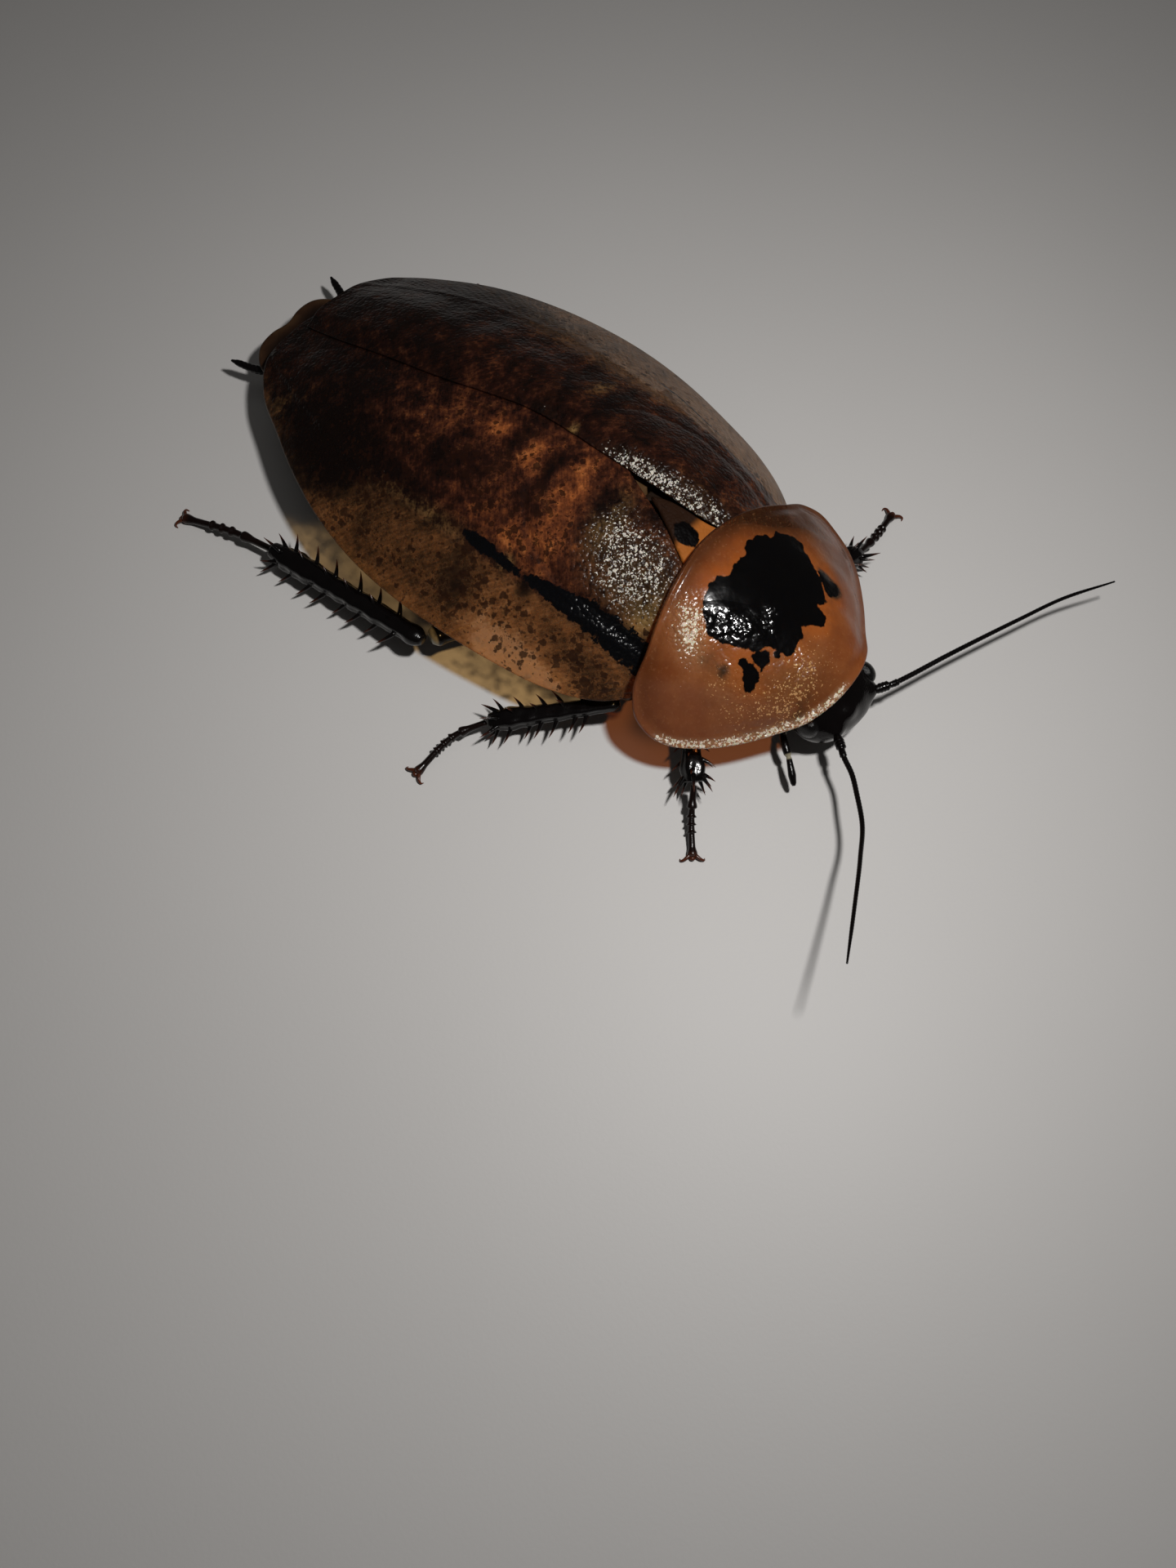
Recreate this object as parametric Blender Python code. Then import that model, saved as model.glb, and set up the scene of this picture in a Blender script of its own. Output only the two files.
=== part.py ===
"""A peppered roach at life size, standing on the floor with its wings folded over its back.

Lengths below are millimetres, and turn into metres where a mesh is made. The animal faces -Y, its own
left is +X, and the floor is z = 0. Places are counted from the front edge of the pronotum on the
mid-line, and the finished model is moved so that the middle of its box lies on the Z axis.
"""

import math
import random

import bmesh
import bpy
import numpy as np
from mathutils import Vector, geometry

MM = 0.001
GAP = 0.3
SLOPE_STEP = 0.05
EDGE_MARGIN = 0.25
SAME_PLACE = 0.02
BOX_MIDDLE = (-0.85, 31.0)

# The pronotum: a broad domed shield whose hind edge rises over the wings.
PRONOTUM_EDGE = [
    (0, 0.35), (2.8, 0.65), (4.9, 1.4), (6.9, 2.75), (9.9, 5.0), (12.6, 7.7), (14.2, 10.2),
    (14.7, 12.2), (14.4, 14.0), (13.0, 15.4), (10.4, 16.1), (8.2, 16.8), (5.0, 17.6), (0, 18.2),
]
PRONOTUM_CREST = [
    (0, 8.8), (1.5, 9.9), (3, 10.9), (5, 12.0), (8, 13.3), (11, 14.4), (14, 15.3), (18.5, 16.2),
]
PRONOTUM_SIDE = [
    (0, 8.8), (1.4, 8.1), (2.8, 6.9), (5, 6.3), (7.7, 6.15), (11.7, 6.6), (14, 7.6), (18.5, 8.2),
]
PRONOTUM_REACH = [
    (0, 3.0), (0.65, 4.0), (1.4, 5.0), (2.75, 7.0), (5, 9.95), (7.7, 12.65), (10.2, 14.2), (12.2, 14.75),
    (18.5, 14.9),
]
PRONOTUM_MIDDLE = (0, 10.5)
PRONOTUM_HALF_LENGTH = 12.0
PRONOTUM_THICK = 0.75
RIM_HEIGHT = 0.22
RIM_WIDTH = 0.9

# The folded wings: their outer edge, the height of the mid-line and of the outer edge, all along Y.
WING_EDGE = [
    (12.3, 15.3), (14.6, 17.8), (15.9, 20.0), (16.85, 22.3), (18.35, 28.75), (19.1, 34.4), (19.3, 42.0),
    (17.9, 51.2), (15.7, 57.8), (13.3, 62.8), (10.4, 68.0), (7.4, 70.7), (4.6, 71.5), (1.5, 71.6),
]
WING_REACH = [
    (15, 12.5), (17.8, 14.7), (20, 15.95), (22.3, 16.9), (28.75, 18.4), (34.4, 19.15), (42, 19.35),
    (51.2, 17.95), (57.8, 15.8), (62.8, 13.4), (68, 10.8), (72, 9.0),
]
WING_CREST = [
    (14, 13.85), (16, 14.35), (18, 14.87), (21, 15.9), (25, 16.6), (30, 16.6), (36, 16.2), (40, 15.8),
    (45, 15.0), (50, 14.0), (55, 12.8), (60, 11.4), (65, 9.6), (68, 8.4), (72, 6.9),
]
WING_SIDE = [
    (14, 6.0), (18, 6.1), (22.3, 6.35), (28.75, 6.9), (34.4, 7.4), (42, 7.6), (51.2, 7.6), (62.8, 7.1),
    (68, 6.4), (72, 5.9),
]
WING_THICK = 0.55

# The inner edges, which cross on the back: the left wing lies over the right one from OVERLAP_START on.
LEFT_INNER = [
    (4.6, 15.3), (3.6, 18.0), (2.6, 21.0), (1.9, 24.5), (1.4, 31.0), (1.4, 36.0), (1.2, 40.4), (0.5, 44.6),
    (-0.5, 50.0), (-1.2, 56.0), (-1.8, 64.0), (-1.6, 70.6),
]
RIGHT_INNER = [
    (-3.4, 15.3), (-2.5, 18.0), (-0.9, 21.5), (0.7, 25.5), (2.4, 30.0), (3.4, 36.0), (3.8, 45.0),
    (3.8, 56.0), (3.2, 64.0), (2.2, 70.8),
]
OVERLAP_LIFT = 0.49
OVERLAP_START = 20.0
OVERLAP_RISE = 6.0
OVERLAP_FADE = 5.0
LEFT_LIFT_FROM = 4.8
RIGHT_DROP_FROM = -6.8
TAIL_SWAY = 0.55
SWAY_START = 44.0
SWAY_RUN = 22.0
ARCH_POWER = 2.5
ARCH_FLARE = 0.45
VEIN_HEIGHT = 0.22
VEIN_HALF_WIDTH = 0.42

# Veins of one wing, drawn for the left: (outward, backward).
VEINS = [
    [(9.6, 16.6), (10.2, 22.0), (10.0, 28.0), (8.2, 32.4), (4.6, 35.4), (1.9, 36.4)],
    [(10.6, 17.4), (11.6, 24.0), (12.6, 32.0), (12.8, 41.0), (11.9, 51.0), (10.0, 60.0), (7.6, 67.4)],
    [(11.4, 23.4), (14.0, 31.0), (15.5, 39.0), (16.4, 47.6)],
    [(12.6, 32.0), (14.6, 40.0), (15.0, 48.0), (14.2, 56.4)],
    [(10.0, 28.6), (9.6, 38.0), (8.7, 48.0), (7.0, 58.0), (4.9, 68.0)],
    [(9.0, 33.4), (6.6, 42.0), (5.2, 52.0), (3.4, 62.0)],
    [(7.6, 17.0), (7.8, 23.0), (6.6, 29.4), (4.0, 33.6)],
    [(5.6, 17.4), (5.2, 23.0), (3.9, 28.4)],
]

# The small shield between the wing roots, and the last plate of the back, both sunk below the wings' level.
SCUTELLUM_EDGE = [
    (0.5, 15.9), (3.5, 16.4), (2.3, 19.8), (1.15, 24.0), (0.8, 24.6), (0.2, 23.2), (-1.5, 19.6), (-2.6, 16.4),
]
SCUTELLUM_DROP = 0.55
SCUTELLUM_THICK = 0.7
PLATE_EDGE = [
    (0, 73.9), (1.9, 74.3), (4.0, 74.1), (5.5, 72.9), (6.3, 71.0), (6.2, 68.4), (5.4, 66.2), (0, 65.4),
]
PLATE_MIDDLE = -0.9
PLATE_DROP = 1.52
PLATE_THICK = 0.6

# The trunk under the shields, as stations (y, half width, middle height, lowest height).
THORAX_STATIONS = [
    (6.5, 3.4, 6.7, 5.1), (8.0, 5.6, 7.1, 4.6), (10.5, 7.6, 7.4, 4.4), (14.0, 9.0, 7.6, 4.3),
    (17.0, 9.9, 7.8, 4.3), (21.0, 11.3, 7.6, 4.4), (25.6, 12.6, 7.3, 4.6),
]
ABDOMEN_STATIONS = [
    (25.9, 12.4, 7.0, 4.7), (28.5, 13.3, 6.8, 4.3), (34, 14.4, 6.5, 3.7), (40, 15.0, 6.3, 2.8),
    (46, 14.9, 6.1, 2.4), (52, 14.0, 5.9, 2.3), (57.5, 12.4, 5.6, 2.4), (62.5, 10.3, 5.3, 2.6),
    (67, 7.6, 4.5, 2.7), (70.8, 5.4, 4.0, 2.9),
]
SEGMENT_STARTS = [30.5, 35.5, 40.5, 45.5, 50.5, 55.5, 60.5, 65.5]
SEGMENT_STEP = 0.28
SEGMENT_FADE = 4.0
SEGMENT_EDGE = 0.25
BELLY_ROUNDNESS = 0.8
BACK_ROUNDNESS = 0.45
UNDER_PRONOTUM = 1.5

# The head, bent down under the front of the pronotum and turned a little towards the animal's right.
HEAD_MIDDLE = (0.3, 2.3, 5.05)
HEAD_SIZE = (4.75, 4.0, 3.0)
HEAD_LEAN = math.radians(28)
HEAD_TURN = math.radians(-6)
HEAD_SQUARENESS = 0.86
HEAD_NARROWING = 0.30
EYE_PLACE = np.array([4.0, -0.55, 1.0])
EYE_SIZE = np.array([1.0, 1.3, 1.35])
# Rings of the mouthparts: (distance down, half width, half depth).
MOUTH_RINGS = [(0.0, 1.9, 1.05), (0.5, 1.95, 1.15), (1.0, 1.5, 0.95), (1.3, 0.9, 0.6)]
MOUTH_START = (0.15, 3.3, 2.22)
MOUTH_AIM = (0.0, 0.35, -0.94)

ANTENNA_RIGHT = [
    (-2.75, -1.05, 5.5), (-3.4, -1.85, 5.7), (-4.1, -2.6, 5.9), (-5.25, -4.3, 6.2), (-6.9, -5.95, 6.7),
    (-8.75, -7.65, 7.2), (-12.5, -9.65, 9.2), (-17.1, -11.8, 11.4), (-22.3, -14.13, 14.0),
]
ANTENNA_LEFT = [
    (3.85, -1.15, 5.5), (4.4, -1.45, 5.5), (5.0, -1.85, 5.55), (6.0, -2.25, 5.5), (11.0, -4.1, 5.4),
    (19.0, -7.25, 5.2), (23.3, -9.1, 5.3), (28.26, -12.05, 5.45),
]
# Radii along the thin parts: (share of the length, radius).
ANTENNA_RADII = [
    (0, 0.5), (0.055, 0.52), (0.06, 0.34), (0.075, 0.42), (0.09, 0.33), (0.5, 0.28), (0.85, 0.25),
    (1.0, 0.13),
]

PALP_RIGHT = [
    (-2.25, 3.6, 1.5), (-4.2, 3.6, 2.6), (-5.4, 2.75, 3.5), (-6.35, 1.4, 3.1), (-6.9, 0.75, 2.9),
    (-7.9, -0.5, 2.2),
]
PALP_LEFT = [(2.55, 3.6, 1.5), (4.3, 4.0, 2.3), (5.1, 3.2, 2.6), (5.2, 1.9, 2.2), (4.9, 0.9, 1.4)]
PALP_RADII = [(0, 0.42), (0.3, 0.4), (0.33, 0.32), (0.62, 0.4), (0.66, 0.28), (0.9, 0.42), (1.0, 0.25)]

CERCUS = [(4.88, 71.3, 3.25), (6.4, 73.0, 3.35), (7.7, 76.2, 3.7)]
CERCUS_RADII = [(0, 0.4), (0.35, 0.5), (0.8, 0.3), (1, 0.12)]

# Each leg: hip and trochanter end the coxa, then knee, ankle, the bend of the tarsus and its toe.
LEGS = {
    "fore_right": [
        (-4.9, 6.6, 3.95), (-2.6, 9.8, 2.4), (-8.9, 11.6, 5.2), (-14.1, 6.7, 3.2), (-16.45, 5.0, 1.1),
        (-19.0, 2.75, 0),
    ],
    "fore_left": [
        (4.9, 6.6, 3.95), (2.6, 9.8, 2.4), (9.2, 11.2, 5.0), (16.7, 9.6, 2.7), (20.3, 9.75, 1.0),
        (24.3, 10.2, 0),
    ],
    "mid_right": [
        (-6.6, 13.6, 3.8), (-3.0, 18.0, 2.35), (-12.7, 16.9, 4.6), (-21.5, 26.05, 2.3), (-24.3, 27.75, 1.2),
        (-29.5, 28.45, 0),
    ],
    "mid_left": [
        (6.6, 13.6, 3.8), (3.0, 18.0, 2.35), (12.8, 19.2, 4.8), (18.4, 31.0, 2.2), (19.5, 34.2, 1.1),
        (21.6, 38.6, 0),
    ],
    "hind_right": [
        (-6.9, 21.5, 3.75), (-3.2, 27.3, 2.1), (-19.7, 36.1, 4.2), (-21.3, 56.2, 2.2), (-22.2, 60.9, 1.3),
        (-24.1, 67.5, 0),
    ],
    "hind_left": [
        (6.9, 21.65, 3.75), (3.2, 27.4, 2.1), (17.2, 35.2, 4.2), (18.6, 54.6, 2.2), (18.9, 58.6, 1.1),
        (18.8, 64.8, 0),
    ],
}
# Half widths: coxa (across, tall), femur (across, tall), tibia (knee, ankle), tarsus.
LEG_SIZES = {
    "fore": {"coxa": (1.6, 1.0), "femur": (1.05, 0.95), "tibia": (0.72, 1.05), "tarsus": 0.46},
    "mid": {"coxa": (1.9, 1.1), "femur": (1.2, 1.0), "tibia": (0.8, 1.0), "tarsus": 0.46},
    "hind": {"coxa": (2.1, 1.15), "femur": (1.4, 1.15), "tibia": (1.15, 1.1), "tarsus": 0.52},
}
# How full each piece of a leg is along its length: (share of the length, share of its half width).
COXA_SWELL = [(0, 0.55), (0.12, 0.85), (0.35, 1), (0.6, 0.92), (0.82, 0.7), (0.95, 0.5), (1, 0.32)]
TROCHANTER_SWELL = [0.42, 0.6, 0.66, 0.66, 0.62]
TROCHANTER_BEND = 0.95
FEMUR_SWELL = [(0.1, 0.74), (0.3, 0.95), (0.55, 1), (0.8, 0.88), (0.94, 0.72), (1, 0.5)]
FEMUR_SHORT_OF_KNEE = 0.82
TIBIA_SWELL = [(0, 0.5), (0.05, 0.92), (0.3, 1.0), (0.6, 1.0), (0.92, 1.06), (1, 0.8)]
TIBIA_FLATNESS = 0.85
TARSUS_PARTS = [0.0, 0.34, 0.46, 0.57, 0.68, 1.0]
TARSUS_SWELL = [0.72, 0.84, 1.05]
TARSUS_HEIGHT = 0.8

# Rows of spines on the tibiae: (degrees round the shin from its inner side, count, first, last, length).
SPINE_ROWS = {
    "fore": [
        (20, 2, 0.55, 0.9, 1.5), (-30, 2, 0.6, 0.92, 1.7), (-150, 2, 0.6, 0.92, 1.6), (100, 1, 0.7, 0.7, 1.2),
    ],
    "mid": [(15, 4, 0.3, 0.86, 1.7), (-160, 6, 0.26, 0.92, 1.9), (-75, 4, 0.34, 0.86, 1.3)],
    "hind": [(15, 5, 0.2, 0.84, 2.0), (-160, 7, 0.16, 0.93, 2.0), (-75, 4, 0.28, 0.85, 1.4)],
}
SPUR_TURNS = (30, 100, 170, 235, 310)
SPUR_LENGTH = 2.0
SPUR_SLANT = 1.5
SPUR_SHARE = 0.93
SPINE_RADIUS = 0.29
SPINE_ROOT = 0.35
SPINE_SLANT = 0.6
LOWEST_SPINE = 0.35

# A claw's bends: (outwards from the toe, onwards, height, share of its radius), then its tip.
CLAW = [(0.1, -0.35, 0.37, 1), (0.5, 0.1, 0.39, 0.95), (0.85, 0.35, 0.35, 0.75), (1.1, 0.42, 0.3, 0.5)]
CLAW_TIP = (1.15, 0.1, 0.06)
CLAW_RADIUS = 0.27


def smooth(pairs):
    """A smooth function through (place, value) pairs, given in rising places."""
    place, level = np.array(pairs, float).T
    slope = np.gradient(level, place)

    def value(at):
        at = np.clip(at, place[0], place[-1])
        i = np.clip(np.searchsorted(place, at, side="right") - 1, 0, len(place) - 2)
        step = place[i + 1] - place[i]
        t = (at - place[i]) / step
        rise = (3 * t**2 - 2 * t**3) * (level[i + 1] - level[i])
        lean = (t**3 - 2 * t**2 + t) * step * slope[i] + (t**3 - t**2) * step * slope[i + 1]
        return level[i] + rise + lean

    return value


def curve(points, spacing):
    """Points about `spacing` apart on a smooth curve through the given ones, both ends kept."""
    points = np.array(points, float)
    run = np.concatenate([[0], np.cumsum(np.linalg.norm(np.diff(points, axis=0), axis=1))])
    lines = [smooth(list(zip(run, axis))) for axis in points.T]
    count = max(2, round(run[-1] / spacing) + 1)
    return np.stack([line(np.linspace(0, run[-1], count)) for line in lines], axis=1)


def mirrored(half):
    """A closed outline from its half at +X, whose first and last points are on the mid-line."""
    half = np.array(half, float)
    return np.concatenate([half, half[-2:0:-1] * (-1, 1)])


def ease(t):
    """Rises smoothly from 0 to 1 as t does, and stays level outside."""
    t = np.clip(t, 0, 1)
    return t * t * (3 - 2 * t)


def look(name, colour, roughness):
    """A horn or membrane finish with its colour and roughness."""
    material = bpy.data.materials.new(name)
    material.use_nodes = True
    shader = material.node_tree.nodes["Principled BSDF"]
    shader.inputs["Base Color"].default_value = (*colour, 1)
    shader.inputs["Roughness"].default_value = roughness
    shader.inputs["Metallic"].default_value = 0
    return material


def solid(name, points, faces, material):
    """A closed mesh object from millimetre points, its faces turned outwards."""
    points = (np.asarray(points, float) - (*BOX_MIDDLE, 0)) * MM
    mesh = bpy.data.meshes.new(name)
    mesh.from_pydata(points.tolist(), [], [tuple(int(i) for i in face) for face in faces])
    shape = bmesh.new()
    shape.from_mesh(mesh)
    bmesh.ops.recalc_face_normals(shape, faces=shape.faces)
    if shape.calc_volume(signed=True) < 0:
        bmesh.ops.reverse_faces(shape, faces=shape.faces)
    shape.to_mesh(mesh)
    shape.free()
    mesh.materials.append(material)
    mesh.shade_smooth()
    mesh.set_sharp_from_angle(angle=math.radians(50))
    thing = bpy.data.objects.new(name, mesh)
    bpy.context.scene.collection.objects.link(thing)
    return thing


def loft(rings, tip=None):
    """Points and faces of a closed body through rings of equal counts, fanned shut or drawn to a tip."""
    rings = np.asarray(rings, float)
    count, around = rings.shape[:2]
    last_point = rings[-1].mean(0) if tip is None else tip
    points = np.concatenate([rings.reshape(-1, 3), [rings[0].mean(0), last_point]])
    faces = []
    for i in range(count - 1):
        for j in range(around):
            a, b = i * around + j, i * around + (j + 1) % around
            faces.append((a, b, b + around, a + around))
    last = (count - 1) * around
    for j in range(around):
        k = (j + 1) % around
        faces.append((count * around, k, j))
        faces.append((count * around + 1, last + j, last + k))
    return points, faces


def tube(path, across, sides, tall=None, lift=(0, 0, 1)):
    """Rings of an elliptical tube on a path: `across` and `tall` are its half sizes at each point."""
    path = np.asarray(path, float)
    across = np.broadcast_to(across, len(path))
    tall = across if tall is None else np.broadcast_to(tall, len(path))
    ahead = np.gradient(path, axis=0)
    ahead /= np.linalg.norm(ahead, axis=1, keepdims=True)
    side = np.cross(ahead, np.array(lift, float))
    side /= np.linalg.norm(side, axis=1, keepdims=True)
    rise = np.cross(side, ahead)
    angle = np.arange(sides) * 2 * math.pi / sides + math.pi / sides
    round_side = np.cos(angle)[None, :, None] * side[:, None] * across[:, None, None]
    round_rise = np.sin(angle)[None, :, None] * rise[:, None] * tall[:, None, None]
    return path[:, None] + round_side + round_rise


def fused(name, pieces, material):
    """One closed body: the union of overlapping (points, faces) pieces, of which the largest shell stays."""
    things = [solid(name if i == 0 else f"{name}_piece", *piece, material) for i, piece in enumerate(pieces)]
    extra = bpy.data.collections.new(f"{name}_pieces")
    bpy.context.scene.collection.children.link(extra)
    for thing in things[1:]:
        bpy.context.scene.collection.objects.unlink(thing)
        extra.objects.link(thing)
    base = things[0]
    join = base.modifiers.new("join", "BOOLEAN")
    join.operation = "UNION"
    join.operand_type = "COLLECTION"
    join.collection = extra
    join.solver = "EXACT"
    apply_modifiers(base)
    for thing in things[1:]:
        bpy.data.objects.remove(thing)
    bpy.data.collections.remove(extra)
    keep_largest(base.data)


def apply_modifiers(thing):
    """Keeps the shape that the modifiers give, and drops them."""
    bpy.context.view_layer.update()
    graph = bpy.context.evaluated_depsgraph_get()
    shape = bpy.data.meshes.new_from_object(thing.evaluated_get(graph))
    thing.modifiers.clear()
    thing.data = shape


def keep_largest(mesh):
    """Leaves only the connected surface that holds the most volume."""
    shape = bmesh.new()
    shape.from_mesh(mesh)
    bmesh.ops.triangulate(shape, faces=shape.faces)
    left, shells = set(shape.faces), []
    while left:
        shell, to_visit = set(), [next(iter(left))]
        while to_visit:
            face = to_visit.pop()
            if face in shell:
                continue
            shell.add(face)
            for edge in face.edges:
                to_visit.extend(other for other in edge.link_faces if other not in shell)
        left -= shell
        volume = sum(f.verts[0].co.dot(f.verts[1].co.cross(f.verts[2].co)) for f in shell)
        shells.append((abs(volume), shell))
    largest = max(shells, key=lambda found: found[0])[1]
    drop = [face for face in shape.faces if face not in largest]
    bmesh.ops.delete(shape, geom=drop, context="FACES")
    shape.to_mesh(mesh)
    shape.free()


def distance_to(points, line, closed):
    """How far each point lies, in plan, from a line of points."""
    line = np.asarray(line, float)
    ends = np.roll(line, -1, axis=0) if closed else line[1:]
    starts = line if closed else line[:-1]
    run = ends - starts
    t = ((points[:, None] - starts) * run).sum(2) / (run * run).sum(1)
    foot = starts + np.clip(t, 0, 1)[..., None] * run
    return np.linalg.norm(points[:, None] - foot, axis=2).min(1)


def inside(points, outline):
    """Which points lie inside a closed outline, by counting its crossings to their right."""
    x, y = points[:, 0, None], points[:, 1, None]
    ax, ay = outline.T
    bx, by = np.roll(outline, -1, axis=0).T
    crosses = (ay > y) != (by > y)
    with np.errstate(divide="ignore", invalid="ignore"):
        where = ax + (y - ay) * (bx - ax) / (by - ay)
    return ((crosses & (x < where)).sum(1) % 2).astype(bool)


def beside(line, offset):
    """The line of points moved sideways in plan."""
    run = np.gradient(line, axis=0)
    run /= np.linalg.norm(run, axis=1, keepdims=True)
    return line + np.stack([-run[:, 1], run[:, 0]], axis=1) * offset


def plan_mesh(outline, lines, spacing):
    """Triangles over an outline in plan, with the given lines among their edges."""
    points = list(map(tuple, outline))
    edges = [(i, (i + 1) % len(outline)) for i in range(len(outline))]
    for line in lines:
        keep = inside(line, outline) & (distance_to(line, outline, True) > EDGE_MARGIN)
        first = None
        for point, kept in zip(line, keep):
            if kept:
                points.append(tuple(point))
                if first is not None:
                    edges.append((first, len(points) - 1))
            first = len(points) - 1 if kept else None
    low, high = outline.min(0), outline.max(0)
    rows = np.arange(low[1], high[1], spacing * math.sqrt(0.75))
    columns = np.arange(low[0], high[0], spacing)
    grid = np.array([(x + (i % 2) * spacing / 2, y) for i, y in enumerate(rows) for x in columns])
    clear = spacing * 0.45
    grid = grid[inside(grid, outline) & (distance_to(grid, outline, True) > clear)]
    for line in lines:
        grid = grid[distance_to(grid, line, False) > clear]
    points += list(map(tuple, grid))
    flat = [Vector(point) for point in points]
    places, _, faces, *_ = geometry.delaunay_2d_cdt(flat, edges, [], 1, SAME_PLACE)
    return np.array([tuple(place) for place in places]), [tuple(face) for face in faces]


def shell(name, outline, lines, spacing, top, ridge, thickness, material):
    """A thin curved plate over a plan outline: `top` is its smooth upper face, `ridge` what stands on it."""
    outline = np.asarray(outline, float)
    plan, faces = plan_mesh(outline, lines, spacing)
    x, y = plan.T
    height = top(x, y)
    lean = np.stack([top(x + SLOPE_STEP, y) - height, top(x, y + SLOPE_STEP) - height], axis=1) / SLOPE_STEP
    normal = np.concatenate([-lean, np.ones((len(x), 1))], axis=1)
    normal /= np.linalg.norm(normal, axis=1, keepdims=True)
    upper = np.stack([x, y, height], axis=1) + normal * ridge(plan)[:, None]
    lower = np.stack([x, y, height], axis=1) - normal * thickness
    count = len(x)
    used = {}
    for face in faces:
        for a, b in zip(face, face[1:] + face[:1]):
            used[(a, b)] = used.get((a, b), 0) + 1
    rim = [(a, b) for a, b in used if (b, a) not in used]
    sides = [(b, a, a + count) for a, b in rim] + [(b, a + count, b + count) for a, b in rim]
    below = [tuple(i + count for i in face[::-1]) for face in faces]
    solid(name, np.concatenate([upper, lower]), faces + below + sides, material)


def arch(t):
    """How far an arched back has fallen at the share `t` of its half width: flat on top, then flared."""
    t = np.clip(np.abs(t), 0, 1.02)
    return t**ARCH_POWER * (1 + ARCH_FLARE * (1 - t))


def arched(crest, side, reach):
    """The height of an arched back over the plan: its crest less what the arch has fallen by."""
    crest, side, reach = smooth(crest), smooth(side), smooth(reach)

    def height(x, y):
        return crest(y) - (crest(y) - side(y)) * arch(x / reach(y))

    return height


pronotum_top = arched(PRONOTUM_CREST, PRONOTUM_SIDE, PRONOTUM_REACH)
straight_wing_top = arched(WING_CREST, WING_SIDE, WING_REACH)


def sway(y):
    """The folded wings bend a little to the left towards their tips."""
    return TAIL_SWAY * ease((y - SWAY_START) / SWAY_RUN)


def wing_top(x, y):
    return straight_wing_top(x - sway(y), y)


def swayed(line):
    return line + np.stack([sway(line[:, 1]), np.zeros(len(line))], axis=1)


def left_wing_top(x, y):
    """The left wing lies on top, lifted where it crosses the right one."""
    crossing = (1 - ease((x - LEFT_LIFT_FROM) / OVERLAP_FADE)) * ease((y - OVERLAP_START) / OVERLAP_RISE)
    return wing_top(x, y) + OVERLAP_LIFT * crossing


def right_wing_top(x, y):
    crossing = ease((x - RIGHT_DROP_FROM) / OVERLAP_FADE) * ease((y - OVERLAP_START) / OVERLAP_RISE)
    return wing_top(x, y) - OVERLAP_LIFT * crossing


def pronotum(material):
    """The shield, with its margin raised in a low rim."""
    outline = mirrored(curve(PRONOTUM_EDGE, 1.5))
    rim_line = outline + (np.array(PRONOTUM_MIDDLE) - outline) * (RIM_WIDTH / PRONOTUM_HALF_LENGTH)

    def ridge(plan):
        return RIM_HEIGHT * (1 - np.clip(distance_to(plan, outline, True) / RIM_WIDTH, 0, 1))

    closed_rim = np.concatenate([rim_line, rim_line[:1]])
    shell("pronotum", outline, [closed_rim], 2.0, pronotum_top, ridge, PRONOTUM_THICK, material)


def wing(side, material):
    """One folded wing, side +1 for the left; its main veins stand up from the membrane."""
    inner = curve(LEFT_INNER if side > 0 else RIGHT_INNER, 2.4)
    outer = curve(WING_EDGE, 2.2) * (side, 1)
    outline = swayed(np.concatenate([outer, inner[::-1]]))
    veins = [swayed(curve(vein, 2.2) * (side, 1)) for vein in VEINS]
    lines = [beside(vein, offset) for vein in veins for offset in (0, VEIN_HALF_WIDTH, -VEIN_HALF_WIDTH)]

    def ridge(plan):
        near = np.min([distance_to(plan, vein, False) for vein in veins], axis=0)
        return VEIN_HEIGHT * (1 - np.clip(near / VEIN_HALF_WIDTH, 0, 1))

    name, top = ("wing_left", left_wing_top) if side > 0 else ("wing_right", right_wing_top)
    shell(name, outline, lines, 2.6, top, ridge, WING_THICK, material)


def scutellum(material):
    def top(x, y):
        return wing_top(x, y) - SCUTELLUM_DROP

    outline = np.array(SCUTELLUM_EDGE, float)
    shell("scutellum", outline, [], 1.6, top, lambda plan: np.zeros(len(plan)), SCUTELLUM_THICK, material)


def tail_plate(material):
    def top(x, y):
        return wing_top(x, y) - PLATE_DROP

    outline = mirrored(curve(PLATE_EDGE, 1.2)) + (PLATE_MIDDLE, 0)
    shell("tail_plate", outline, [], 1.8, top, lambda plan: np.zeros(len(plan)), PLATE_THICK, material)


def trunk(name, stations, around, ceiling, steps, spacing, material):
    """A lofted trunk whose back stays under `ceiling`; each of `steps` sets in a new segment."""
    y_all, half, middle, low = np.array(stations, float).T
    lines = [smooth(list(zip(y_all, column))) for column in (half, middle, low)]
    start, end = y_all[0], y_all[-1]
    places = list(np.linspace(start, end, max(2, round((end - start) / spacing))))
    for place in steps:
        places = [y for y in places if abs(y - place) > 3.2 * SEGMENT_EDGE]
        places += [place - SEGMENT_EDGE, place + SEGMENT_EDGE]
    angle = np.arange(around) * 2 * math.pi / around
    rings = []
    for y in sorted(places):
        half_width, centre, lowest = (line(y) for line in lines)
        since = min([y - place for place in steps if y >= place - 1.04 * SEGMENT_EDGE] + [2 * SEGMENT_FADE])
        shrink = SEGMENT_STEP * max(0, 1 - max(since, 0) / SEGMENT_FADE)
        x = half_width * np.cos(angle)
        x = x - np.sign(x) * shrink * np.abs(np.cos(angle))
        lower = centre + (lowest + shrink - centre) * np.abs(np.sin(angle)) ** BELLY_ROUNDNESS
        arc = centre + (ceiling(x, y) - centre) * np.abs(np.sin(angle)) ** BACK_ROUNDNESS
        upper = np.minimum(arc, ceiling(x, y)) - shrink
        z = np.where(np.sin(angle) > 1e-6, np.maximum(upper, centre + 0.02), lower)
        rings.append(np.stack([x, np.full(around, y), z], axis=1))
    solid(name, *loft(rings), material)


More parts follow.
